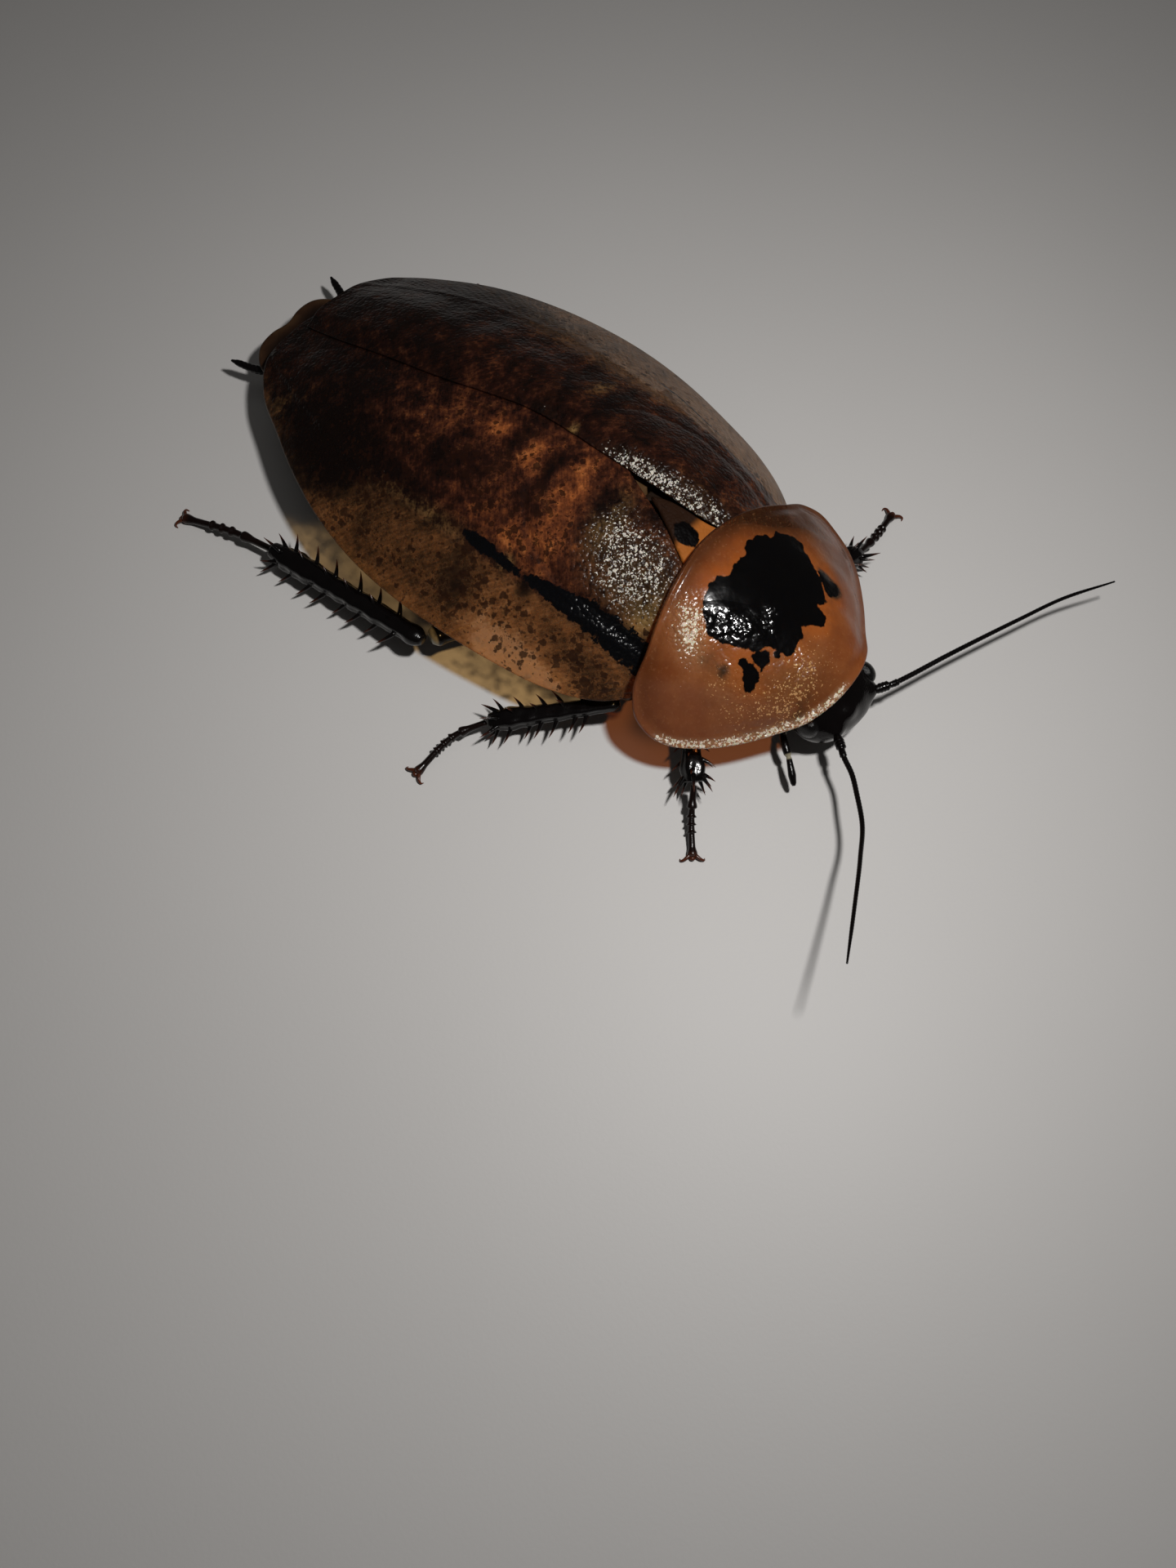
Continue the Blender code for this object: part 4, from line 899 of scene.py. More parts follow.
def shield_material():
    """Translucent amber horn with domed glitter, a greyer flange, and the glossy black mark in an orange
    halo.
    Pale dots, gold flecks and a cream tone are painted glints of the glitter, the front's golden tone partly
    paints its sheen, and dark patches are painted shade."""
    tint = colours()
    material, shader, where, mask = finish("pronotum_horn", ior=1.55, specular=0.34)
    let_light_through(shader, 0.5, 0.0011)
    shade, domes = grain(where, 0.36, 2.6)
    cloud = noise(where, 3.2, 4.0, 0.6)
    near = mask("blotch") + noise(where, 0.9, 4.0, 0.6) * 0.9 - 0.45
    mark = rising(near, 0.06, -0.06)
    halo = rising(near, 2.0, 0.1) * rising(cloud, 0.3, 0.55)
    smudge = mask("smudge") + weighted((cloud, 0.6), (noise(where, 0.8, 3.0), 0.5))
    # gold flecks at the front and pale dots on the glitter are painted glints
    painted_gold_glints = flecks(where, 0.19, mask("front") * (cloud * 1.2 + 0.1))
    painted_glint_dots = flecks(where, 0.22, mask("glitter"))
    base = painted(tint.shield, (
        (rising(cloud, 0.36, 0.66), (0.29, 0.096, 0.028)),
        (halo * 0.85, (0.34, 0.088, 0.013)),
        # the front's golden-brown tone, which partly paints the sheen of its fine glitter
        (mask("front") * 0.6, (0.21, 0.09, 0.031)),
        (mask("flange") * 0.8, tint.flange),
        # painted shade where less light reaches the shield
        (mask("shade") * 0.95, (0.04, 0.014, 0.005)),
        (mask("line") * 0.9, (0.03, 0.009, 0.004)),
        (rising(smudge, 0.15, 0.7) * 0.9, (0.012, 0.013, 0.009)),
        (rising(noise(where, 0.3, 3.0), 0.55, 0.75) * 0.2, (0.40, 0.19, 0.08)),
        # painted glints: gold flecks at the front, then a cream tone and pale dots on the glitter
        (painted_gold_glints * 0.75, (0.72, 0.44, 0.19)),
        (mask("glitter") * 0.35, (0.5, 0.34, 0.19)),
        (painted_glint_dots * 0.9, (0.90, 0.80, 0.64)),
        (mark, (0.0016, 0.0013, 0.0014)),
    ))
    pitted = larger((noise(where, 1.8, 2.0) - 0.1) * mask("pitted"), mask("glitter")) * (1 - mark * 0.6)
    lumps = noise(where, 0.85, 1.5) * mask("pitted")
    dress(shader, base, shade * 0.12 + 0.15 - mark * 0.08, domes * pitted + lumps * 1.3, 0.00016)
    seen_through(shader, mask("thin") * (1 - mark), (0.2, 0.52), (0.95, 0.5, 0.24))
    return material


def wing_material():
    """Wing membrane. One lightness runs from black-brown over red-brown to orange and is broken up at three
    sizes, with pale dots painted as glints on a dark ground where the skin is pitted; another ramp of the
    same lightness gives the olive and tan outer field, with its flecks and striae, greyed on the left wing as
    painted light of the pale floor showing through."""
    material, shader, where, mask = finish("wing_membrane", ior=1.42, specular=0.17)
    let_light_through(shader, 0.25, 0.0006)
    flow = read("ShaderNodeUVMap", "UV", {}, shader.id_data, uv_map="flow")
    shade, domes = grain(where, 0.4, 1.8)
    brushed = noise(scaled(flow, (0.7, 3.4, 1.0)), 1.0, 3.0, 0.6)
    across = noise(scaled(flow, (3.6, 0.45, 1.0)), 1.0, 3.0, 0.6)
    cloud = noise(where, 1.9, 4.0, 0.65)
    mottle = noise(where, 0.7, 4.0, 0.7)
    light = mask("light") + weighted((cloud, 1.5), (mottle, 0.75), (brushed, 0.6))
    # where the skin is pitted: a dark ground with pale dots painted as its glints
    sparkle_area = rising(mask("pitted") + weighted((cloud, 0.8)), 0.4, 1.0)
    inner = painted(ramp(light, INNER_TONES), (
        (mask("gold") * rising(light, 0.1, 0.7), colours().wing_gold),
        (sparkle_area * 0.75, (0.024, 0.013, 0.008)),
        (flecks(where, 0.21, sparkle_area * 0.8) * 0.9, (0.70, 0.66, 0.58)),
    ))
    pale = mask("light") + weighted((cloud, 0.7), (mottle, 0.9), (across, 0.7))
    outer = ramp(pale, OUTER_TONES)
    # the left wing's outer field greyed and blued: painted light of the pale floor showing through it
    outer = paint(outer, mask("grey") * 0.8, paint(outer, 1.0, (0.58, 0.80, 1.2), "MULTIPLY"))
    amount = mask("flecks") + weighted((cloud, 2.2), (mottle, 1.2)) + 0.28
    blot = mask("flecks") + weighted((mottle, 2.4), (cloud, 1.0)) - 0.5
    blot = rising(blot, 0.3, 0.5) * rising(mask("flecks"), 0.1, 0.3)
    speck = larger(larger(flecks(where, 0.75, amount), blot), flecks(where, 0.34, amount) * 0.85)
    black = rising(mask("streak") + weighted((cloud, 1.1), (mottle, 1.5)), 0.46, 0.58)
    border = paint((0.17, 0.075, 0.016), rising(noise(where, 0.8, 2.0), 0.52, 0.6), (0.03, 0.012, 0.005))
    base = painted(inner, (
        (rising(mask("margin") + weighted((cloud, 1.5), (mottle, 1.0)), 0.05, 0.95), outer),
        (speck * 0.88, (0.016, 0.006, 0.0035)),
        (black, (0.003, 0.003, 0.0035)),
        (mask("rim"), border),
    ))
    gloss = shade * 0.14 + 0.14 + mask("margin") * 0.1 + mask("pitted") * 0.06 - black * 0.06
    striae = (mask("margin") - mask("grey")) * 0.24 + 0.06
    dress(shader, base, gloss, domes * mask("pitted") + brushed * 0.07 + across * striae, 0.00019)
    clear = mask("thin") * (1 - larger(black, speck * 0.8)) * rising(pale, -0.1, 0.6)
    seen_through(shader, clear, (0.55, 1.15), paint((0.98, 0.78, 0.50), mask("grey"), (0.86, 0.76, 0.68)))
    return material


def horn_material(name, roughness):
    """Polished black horn, red-brown where the mask `tip` rises and pale where `joint` does."""
    tint = colours()
    material, shader, where, mask = finish(name, specular=0.3)
    shade, domes = grain(where, 0.2, 1.2)
    base = painted(tint.horn, (
        (shade, (0.0035, 0.0025, 0.0025)),
        (mask("tip"), tint.horn_red),
        (rising(mask("joint"), 0.3, 0.7), (0.28, 0.25, 0.17)),
    ))
    dress(shader, base, shade * 0.14 + roughness, domes, 0.00001)
    return material


def eye_material():
    """Black eye of many small domed facets."""
    material, shader, where, _ = finish("eye_black", specular=0.3, coat=0.1)
    inputs = {"Vector": where, "Scale": MM / sizes().facet_size, "Randomness": 0.35}
    facets = read("ShaderNodeTexVoronoi", "Distance", inputs)
    base = paint((0.005, 0.004, 0.004), facets, (0.0015, 0.0015, 0.0015))
    dress(shader, base, noise(where, 0.6) * 0.14 + 0.12, facets * -1.0, 0.00002)
    return material


def belly_material():
    """Dark brown horn of the trunk, paler at the hind edge of each segment."""
    material, shader, where, mask = finish("belly_brown", specular=0.25)
    shade, domes = grain(where, 0.4, 2.2)
    base = painted(colours().belly, (
        (shade, (0.045, 0.020, 0.009)),
        (mask("edge") * 0.7, (0.10, 0.055, 0.022)),
        (mask("dim") * 0.9, (0.006, 0.003, 0.002)),
        (flecks(where, 1.1, 0.35) * 0.6, (0.015, 0.008, 0.006)),
    ))
    dress(shader, base, shade * 0.25 + 0.28, domes, 0.00004)
    return material


def scutellum_material():
    """Orange horn with one black oval spot, darker towards its tip."""
    material, shader, where, mask = finish("scutellum_horn", specular=0.03)
    shade, domes = grain(where, 0.3, 1.4)
    edge = noise(where, 0.6, 3.0) * 0.5 + mask("spot")
    base = painted((0.40, 0.13, 0.024), (
        (shade, (0.26, 0.08, 0.016)),
        (mask("shade"), (0.020, 0.009, 0.005)),
        (rising(edge, 1.35, 1.2), (0.002, 0.0015, 0.0015)),
    ))
    dress(shader, base, shade * 0.2 + 0.4, domes, 0.00005)
    return material


def plate_rings(outline, middle, top, thickness, relief, rings=90, turn=7, below=18):
    """Rings of a curved plate: out over the top from the middle, round the rim, and back below. A point of
    the top is middle + r * (edge - middle) in plan, at the height top(x, y) and raised along the normal by
    relief(x, y), and the rim is a half circle of the plate's thickness."""
    half = thickness / 2
    run = np.roll(outline, -1, axis=0) - np.roll(outline, 1, axis=0)
    out = unit(np.stack([run[:, 1], -run[:, 0]], axis=1))
    if (out * (outline - middle)).sum() < 0:
        out = -out
    inset = outline - out * half

    def at(share):
        plan = middle + (inset - middle) * share[:, None, None]
        x, y = plan[..., 0], plan[..., 1]
        normal = normals_of(top, x, y)
        return np.stack([x, y, top(x, y)], axis=-1), normal, relief(x, y)

    share = 1 - (1 - np.arange(1, rings + 1) / rings) ** 1.25
    upper, normal, raised = at(share)
    upper = upper + normal * raised[..., None]
    edge, edge_normal, edge_raised = at(np.array([1.0]))
    side = np.concatenate([out, np.zeros((len(out), 1))], axis=1)
    side = unit(side - edge_normal[0] * (side * edge_normal[0]).sum(1, keepdims=True))
    angle = np.linspace(0, math.pi, turn)[1:-1, None, None]
    core = edge[0] - edge_normal[0] * half
    lift = half + edge_raised[0][:, None] * (np.cos(angle) + 1) / 2
    rim = core + edge_normal[0] * np.cos(angle) * lift + side * np.sin(angle) * half
    lower, normal, _ = at(np.linspace(1, 1 / below, below))
    return np.concatenate([upper, rim, lower - normal * thickness])


def pronotum_relief(x, y):
    """Low swellings and knobs of the disc, and a rim along the margin with a groove inside it."""
    plan = np.stack([x, y], axis=-1).reshape(-1, 2)
    margin = np.abs(signed_distance(plan, loop(PRONOTUM_EDGE, 160))).reshape(x.shape)
    rim = 0.2 * (1 - ease(margin / 0.8)) - 0.1 * (1 - ease(margin, 0.8, 0.9)) * ease(margin / 0.8)
    disc = 0.055 * ripple(x, y, 4.2, 3) + 0.02 * ripple(x, y, 2.0, 4)
    return rim + disc * ease(margin / 2) + patches(plan, SHIELD_KNOBS).reshape(x.shape)


def build_pronotum():
    thickness = sizes().shield_thickness / MM
    edge, middle = loop(PRONOTUM_EDGE, 400), np.array(PRONOTUM_MIDDLE)
    body = closed(plate_rings(edge, middle, pronotum_top, thickness, pronotum_relief, 110))
    plan = body[0][:, :2]
    x, y = plan.T
    marks = [signed_distance(plan, part) for part in (BLOTCH, BLOTCH_HOOK, BLOTCH_BRIDGE, BLOTCH_SPOT)]
    marks.append(np.linalg.norm(plan - BLOTCH_DOT, axis=1) - BLOTCH_DOT_RADIUS)
    away = np.abs(signed_distance(plan, loop(PRONOTUM_EDGE, 160)))
    front = patches(plan, SHIELD_FRONT)
    rim_glitter = (1 - ease(away, 0.6, 0.5)) * ease((1.0 - x) / 2) * ease((12.5 - y) / 2)
    fields = {
        "blotch": np.clip(np.minimum.reduce(marks), -2, 2),
        "flange": ease((np.abs(x) - smooth(FLANGE_LINE)(y)) / 1.6) * np.where(x > 0, 1, 0.45),
        # painted shade: where the shield is darkened because less light reaches it
        "shade": patches(plan, SHIELD_PAINTED_SHADE),
        "front": front,
        # where the shield glitters: its domes, and the cream tone and pale dots painted as its glints
        "glitter": np.maximum(rim_glitter, patches(plan, SHIELD_GLITTER)),
        "thin": (1 - ease(away, 1.5, 3.5)) * 0.8 + 0.2,
        "line": (1 - ease(away / 0.35)) * ease(y, 15, 2),
        "pitted": 0.15 + 0.85 * streak_field(plan, GLINT_PATH) + 0.8 * front,
        "smudge": patches(plan, SHIELD_SMUDGES),
    }
    piece("pronotum", body, shield_material(), fields)


def wing_plan(side, shares):
    """Inner and outer edge of a wing in plan, at the same shares of their lengths."""
    inner = curve(LEFT_INNER if side > 0 else RIGHT_INNER, shares)
    outer = curve(LEFT_EDGE if side > 0 else WING_EDGE, shares) * (side, 1)
    return [line + np.stack([sway(line[..., 1]), 0 * line[..., 1]], axis=-1) for line in (inner, outer)]


def wing_veins(x, y, side):
    """Height of the veins, about 1 on the stout one and below nought in the furrow, over the left wing's plan
    (the right one is measured mirrored). Side veins are where a field's own coordinate is a whole number: out
    from the stout vein to the margin, along the wing between furrow and stout vein, and within the clavus."""
    spacing = sizes().branch_spacing / MM
    across = (x - sway(y)) * side
    stout, furrow, edge = smooth(STOUT_VEIN)(y), smooth(FURROW)(y), smooth(WING_REACH)(y)
    behind = ease(y, 33, 4)
    inner = furrow * (1 - behind) - 3.0 * behind
    out = (across - stout) / np.maximum(edge - stout, 1)
    costal = ridge((y - SIDE_VEIN_RAKE * out) / spacing, 0.16) * ease(out * 6) * (across > stout)
    share = (across - inner) / np.maximum(stout - inner, 0.5)
    central = ridge(share * 6, 0.09) + ridge(share * 12, 0.13) * ease(y, 36, 5)
    central = central * (share > 0.04) * (share < 0.96)
    plan = np.stack([across, y], axis=-1).reshape(-1, 2)
    down = np.linspace(FURROW[0][0], FURROW[-1][0], 60)
    apart = distance_to(plan, np.stack([smooth(FURROW)(down), down], axis=1)).reshape(x.shape)
    clavus = ridge(apart / 1.5, 0.14) * (across < furrow) * (y < 35) * ease(apart, 0.6, 0.5)
    ridges = 1.1 * bell(across - stout, 0.4) + 0.5 * costal + 0.13 * central + 0.1 * clavus
    return ridges - 1.2 * bell(apart, 0.35)


def ridge(turns, width):
    """1 on whole numbers, falling off within `width` of a turn."""
    return bell(turns - np.round(turns), width)


def wing_rings(side, stations=330, over=104, below=26, turn=5):
    """Loops across a wing from its root to its tip: over the top from the inner to the outer edge, round it,
    back below and round the inner edge. The half thickness dies away in a circle at both ends."""
    half = sizes().wing_thickness / MM / 2
    top = left_wing_top if side > 0 else right_wing_top
    shares = np.linspace(0, 1, stations)
    inner, outer = wing_plan(side, shares)
    away = unit(outer - inner)
    inner, outer = inner + away * half, outer - away * half
    to_end = np.minimum(shares, 1 - shares) * run_of(outer)[-1]
    thick = half * np.sqrt(1 - (1 - np.clip(to_end / half, 0, 1)) ** 2 * 0.96)[:, None, None]

    def at(share):
        plan = inner[:, None] + (outer - inner)[:, None] * share[None, :, None]
        x, y = plan[..., 0], plan[..., 1]
        return np.stack([x, y, top(x, y)], axis=-1), normals_of(top, x, y)

    def thinned(share):
        away = np.linalg.norm(outer - inner, axis=1)[:, None] * share[None, :]
        return thick * (1 - INNER_THINNING * (side > 0) * (1 - ease(away / INNER_TAPER)))[..., None]

    share = np.linspace(0, 1, over)
    upper, normal = at(share)
    x, y = upper[..., 0], upper[..., 1]
    raised = wing_veins(x, y, side) * sizes().vein_height / MM * (0.4 if side > 0 else 1)
    raised = raised + 0.04 * ripple(x, y, 5.0, 11 + side) + 0.008 * ripple(x, y, 1.6, 21 + side)
    from_seam = x - left_inner(y)
    if side > 0:
        raised = raised + 0.2 * bell(from_seam - 2.6, 1.4) * (1 - ease(y, 34, 12))
    else:
        raised = raised * (1 - 0.9 * ease(from_seam + 1))
    fade = np.clip(np.minimum(share, 1 - share) * 12, 0, 1)[None, :] * np.clip(to_end / 1.5, 0, 1)[:, None]
    core = upper - normal * half
    angle = np.linspace(0, math.pi, turn + 2)[1:-1][None, :, None]
    side_way = np.concatenate([away, np.zeros((stations, 1))], axis=1)[:, None]

    def round_edge(centre, up, out, reach):
        out = unit(out - up * (out * up).sum(-1, keepdims=True))
        return centre + (up * np.cos(angle) + out * np.sin(angle)) * reach

    outer_edge = round_edge(core[:, -1:], normal[:, -1:], side_way, thick)
    inner_edge = round_edge(core[:, :1], normal[:, :1], -side_way, thinned(share[:1]))[:, ::-1]
    back = np.linspace(1, 0, below)
    lower, lower_normal = at(back)
    lower = lower - lower_normal * (half + thinned(back))
    upper = core + normal * (thinned(share) + (raised * fade)[..., None])
    return np.concatenate([upper, outer_edge, lower, inner_edge], axis=1)


def streak_field(plan, table):
    """A streak along a path of (x, y, half width, strength): its strength near the line, falling to nothing
    at one and a half of its half widths."""
    table = np.array(table, float)
    value = np.zeros(len(plan))
    for first, last in zip(table, table[1:]):
        run = (last - first)[:2]
        t = np.clip(((plan - first[:2]) @ run) / (run @ run), 0, 1)
        away = np.linalg.norm(plan - first[:2] - t[:, None] * run, axis=1)
        width, strength = first[2:, None] + (last - first)[2:, None] * t
        value = np.maximum(value, strength * np.clip(1.5 - away / width, 0, 1))
    return value


def wing_fields(side, plan):
    """The masks of a wing's colours over its plan: lightness, gold tint, the pale outer field and its grey
    (painted light of the floor showing through), flecks, black streaks, the border, how strongly the skin is
    domed (which also places painted glints), and how much light passes."""
    x, y = plan.T
    across = (x - sway(y)) * side
    edge, stout = smooth(WING_REACH)(y), smooth(STOUT_VEIN)(y)
    behind = ease(y, 46, 12)
    light, gold, flecks, pitted = (patches(plan, table) for table in WING_PATCHES[side])
    if side > 0:
        border = 12.1 - 1.2 * ease(y, 26, 10) + 0.7 * ease(y, 44, 10)
        blur = 0.5 + 3.2 * ease(y, 24, 10) - 1.4 * ease(y, 44, 10)
        ground, lift = 0.27 - 0.14 * behind - 0.02 * ease(y, 30, 12), 0.27 - 0.2 * behind
    else:
        border = stout + (edge - 1.1 - stout) * ease(y, 46, 10)
        blur = 1.8 + 2.6 * ease(y, 42, 6)
        ground, lift = 0.43 - 0.3 * behind - 0.12 * ease(y, 38, 6) * (1 - behind), 0.14 + 0.12 * behind
    margin = ease((across - border) / blur + 0.5)
    thin = (0.64 * margin + 0.05) * (1 - (0.85 * ease(y, 51, 9) if side < 0 else 0)) + 0.012
    return {
        "light": light + ground + margin * lift,
        "gold": gold,
        "margin": margin,
        # grey: painted light of the floor showing through the left wing's outer field
        "grey": margin * (side > 0),
        "flecks": flecks + 0.12 * (1 - margin),
        "streak": streak_field(plan, LEFT_STREAK if side > 0 else RIGHT_STREAK),
        "rim": 1 - ease((edge - across - 0.1) / 0.25),
        "pitted": 0.22 + 0.9 * np.clip(pitted, 0, 1),
        "thin": thin,
    }


def build_wing(name, side, material):
    """A wing, with a flow map turned so that its side veins run along the map's second direction."""
    body = closed(wing_rings(side))
    plan = body[0][:, :2]
    x, y = plan[:, 0] * side, plan[:, 1]
    cos, sin = FLOW_TURN
    flow = np.stack([cos * x - sin * y, sin * x + cos * y], axis=1)
    piece(name, body, material, wing_fields(side, plan), flow)


def build_scutellum():
    outline = loop_of(SCUTELLUM_EDGE, 160)

    def top(x, y):
        return wing_top(x, y) - SCUTELLUM_DROP

    def relief(x, y):
        return 0.12 * bell(x - 0.2, 1.2) * bell(y - 20.4, 2.2) + 0.02 * ripple(x, y, 1.2, 31)

    body = closed(plate_rings(outline, np.array(SCUTELLUM_MIDDLE), top, 0.6, relief, 36))
    x, y = body[0][:, 0], body[0][:, 1]
    spot_x, spot_y, wide, long = SCUTELLUM_SPOT
    spot = np.hypot((x - spot_x) / wide, (y - spot_y) / long)
    fields = {"spot": np.clip(spot, 0, 4), "shade": ease(y, 19.6, 0.9)}
    piece("scutellum", body, scutellum_material(), fields)


def build_tail_plate(material):
    outline = loop(PLATE_EDGE, 200) + (PLATE_MIDDLE[0], 0)

    def top(x, y):
        return wing_top(x, y) - PLATE_DROP

    def relief(x, y):
        return 0.03 * ripple(x, y, 2.4, 41)

    body = closed(plate_rings(outline, np.array(PLATE_MIDDLE), top, 0.55, relief, 40))
    away = np.abs(signed_distance(body[0][:, :2], outline))
    x, y = body[0][:, 0], body[0][:, 1]
    patchy = ease(0.5 + ripple(x, y, 2.6, 43))
    fields = {"edge": 0.35 * patchy * (1 - ease(away / 1.4)), "dim": ease(away, 0.3, 1.5)}
    piece("tail_plate", body, material, fields)


def thorax_ceiling(x, y):
    """Clear of the shield in front, then of the wings and the scutellum."""
    below_shield = pronotum_top(x, y) - UNDER_SHIELD
    sunk = wing_top(x, y) - UNDER_WING_ROOTS - 0.6 * ease(np.abs(x), 5, 6)
    return np.where(y < 13, below_shield, np.minimum(sunk, below_shield + 9 * ease(y, 18, 2)))


def abdomen_ceiling(x, y):
    """Clear of the lower wing, and drawn down at the end to make room for the last plate."""
    return wing_top(x, y) - UNDER_WINGS - 1.6 * ease(y, 62, 4)


def trunk_rings(stations, ceiling, segments, spacing=0.16, around=150):
    """Rings of the trunk: a flattened oval at each y, whose back stays under the ceiling. Each segment's hind
    edge overhangs the next, so the ring shrinks by a step after it and swells again."""
    y_all, half, middle, low = np.array(stations, float).T
    y = np.arange(y_all[0], y_all[-1] + 1e-6, spacing)
    half, middle, low = (smooth(list(zip(y_all, column)))(y)[:, None] for column in (half, middle, low))
    cos, sin = np.cos(angles(around))[None], np.sin(angles(around))[None]
    starts = np.array((y_all[0] - 5, *segments))
    since = np.array([place - starts[starts <= place + 1e-9].max() for place in y])
    shrink = (0.34 * np.exp(-since / 1.1))[:, None]
    grow = (0.05 * ease(since, 3.2, 1.2))[:, None]
    x = half * cos - np.sign(cos) * (shrink - grow) * np.abs(cos)
    lower = middle + (low + shrink - grow - middle) * np.abs(sin) ** 0.8
    roof = ceiling(x, y[:, None])
    upper = np.minimum(middle + (roof - middle) * np.abs(sin) ** 0.45, roof) - shrink
    z = np.where(sin > 1e-6, np.maximum(upper, middle + 0.02), lower)
    rings = np.stack([x, np.broadcast_to(y[:, None], x.shape), z], axis=-1)
    return rings, over_rings(ease(since - 3.6), around, (0, 0))


def build_trunk(material):
    for name, stations, ceiling, segments, dim in (
        ("thorax", THORAX_STATIONS, thorax_ceiling, THORAX_SEGMENTS, 1.0),
        ("abdomen", ABDOMEN_STATIONS, abdomen_ceiling, ABDOMEN_SEGMENTS, 0.0),
    ):
        rings, edge = trunk_rings(stations, ceiling, segments)
        fields = {"edge": edge, "dim": np.full(len(edge), dim)}
        piece(name, closed(rings), material, fields)


def on_head(points):
    """Places in the head's own frame, turned and leant into the model's."""
    x, y, z = np.moveaxis(np.asarray(points, float), -1, 0)
    ahead = y * math.cos(HEAD_LEAN) - z * math.sin(HEAD_LEAN)
    up = y * math.sin(HEAD_LEAN) + z * math.cos(HEAD_LEAN)
    across = x * math.cos(HEAD_TURN) - ahead * math.sin(HEAD_TURN)
    along = x * math.sin(HEAD_TURN) + ahead * math.cos(HEAD_TURN)
    return np.stack([across, along, up], axis=-1) + HEAD_MIDDLE


def egg_rings(middle, size, levels, around, squareness=1.0, narrowing=0.0):
    """Rings of an egg in the head's frame: at height z = size * sin(turn) the ring is an oval of
    cos(turn)^squareness, its corners filled by the same power, drawn in below by the narrowing."""
    turn = np.linspace(-math.pi / 2, math.pi / 2, levels + 2)[1:-1, None]
    angle = angles(around)[None]
    ring = np.cos(turn) ** squareness * (1 - narrowing * np.maximum(0, -np.sin(turn)))
    x = size[0] * ring * squared(np.cos(angle), squareness)
    y = size[1] * np.cos(turn) ** squareness * squared(np.sin(angle), squareness)
    z = size[2] * np.sin(turn) * np.ones_like(angle)
    return np.stack([x, y, z], axis=-1) + middle


def build_head(material):
    rings = egg_rings((0, 0, 0), HEAD_SIZE, 120, 200, HEAD_SQUARENESS, HEAD_NARROWING)
    x, y, z = np.moveaxis(rings, -1, 0)
    normal = unit(rings / np.square(HEAD_SIZE))
    front = ease((-y - 0.5) / 2)
    sockets = sum(np.exp(-(((rings - base) ** 2).sum(-1)) / 0.6) for base in FEELER_SOCKETS)
    crown = bell(x + 0.6, 1.1) * bell(y + 1.9, 0.7) * (z > 0)
    brow = bell(np.abs(x) - 1.7, 0.5) * bell(z + 0.2, 1.6) * front
    lip = bell(z + 1.5 + 0.12 * x**2, 0.16) * front
    from_eye = (np.stack([np.abs(x), y, z], axis=-1) - EYE_PLACE) / np.array(EYE_SIZE) / 1.12
    orbit = bell(np.linalg.norm(from_eye, axis=-1) - 1, 0.14)
    raised = 0.45 * sockets + 0.42 * crown + 0.06 * brow - 0.09 * lip + 0.03 * orbit
    raised = raised + 0.012 * ripple(x * 1.3, z + y * 0.4, 2.0, 51)
    body = closed(on_head(rings + normal * raised[..., None]))
    piece("head", body, material, {"joint": 0 * body[0][:, 0]})


def build_eyes():
    material = eye_material()
    for name, side in (("eye_left", 1), ("eye_right", -1)):
        size = np.array(EYE_SIZE) * 0.97
        rings = on_head(egg_rings(np.array(EYE_PLACE) * (side, 1, 1) * (0.985, 1, 1), size, 70, 90, 0.95))
        piece(name, closed(rings), material)


def build_mouth(material):
    """Lip, jaws and chin: a tapered block along the aim, grooved where its pieces close."""
    aim = unit(MOUTH_AIM)
    start = np.array(MOUTH_START)
    down = np.linspace(0, 1.3, 60)
    wide = smooth([(0.0, 1.85), (0.5, 1.95), (1.0, 1.5), (1.3, 0.7)])(down)
    deep = smooth([(0.0, 1.0), (0.5, 1.15), (1.0, 0.95), (1.3, 0.5)])(down)
    path = start + aim * down[:, None]
    rings = tube(path, wide, 64, deep, (0, -1, 0))
    centre = path[:, None]
    x = (rings - centre)[..., 0]
    groove = 1 - 0.10 * bell(np.abs(x) - 0.9, 0.14) - 0.07 * bell(down[:, None] - 0.62, 0.07)
    body = closed(centre + (rings - centre) * groove[..., None])
    piece("mouthparts", body, material, {"tip": 0.25 * over_rings(ease(down / 1.3), 64)})


def tube(path, across, sides, tall=None, lift=(0, 0, 1), roundness=1.0):
    """Rings of an oval tube on a path: `across` and `tall` are its half sizes at each point, and a roundness
    under 1 squares its section."""
    path = np.asarray(path, float)
    across = np.broadcast_to(across, len(path))
    tall = across if tall is None else np.broadcast_to(tall, len(path))
    ahead = unit(np.gradient(path, axis=0))
    side = unit(np.cross(ahead, np.array(lift, float)))
    rise = np.cross(side, ahead)
    cos, sin = (squared(wave, roundness) for wave in (np.cos(angles(sides)), np.sin(angles(sides))))
    return (
        path[:, None]
        + cos[None, :, None] * side[:, None] * across[:, None, None]
        + sin[None, :, None] * rise[:, None] * tall[:, None, None]
    )


def spikes(roots, tips, radii, bend, sides=8, rings=7):
    """Many tapered spines at once: each axis is root + t * (tip - root) + 4 * t * (1 - t) * bend, and its
    radius falls as (1 - t)^0.8. The last ring is drawn nearly to a point."""
    t = np.linspace(0, 0.985, rings)[None, :, None]
    axis = roots[:, None] * (1 - t) + tips[:, None] * t + 4 * t * (1 - t) * bend[:, None]
    along = unit(tips - roots)
    side = unit(np.cross(along, (0.3, 0.2, 0.93)))
    other = np.cross(along, side)
    angle = angles(sides)[None, None, :, None]
    radius = (radii[:, None] * (1 - t[..., 0]) ** 0.8)[..., None, None]
    ring = np.cos(angle) * side[:, None, None] + np.sin(angle) * other[:, None, None]
    bodies = [closed(*spine) for spine in zip(axis[:, :, None] + radius * ring, roots, tips)]
    return bodies, np.tile(over_rings(t.ravel(), sides), len(bodies))


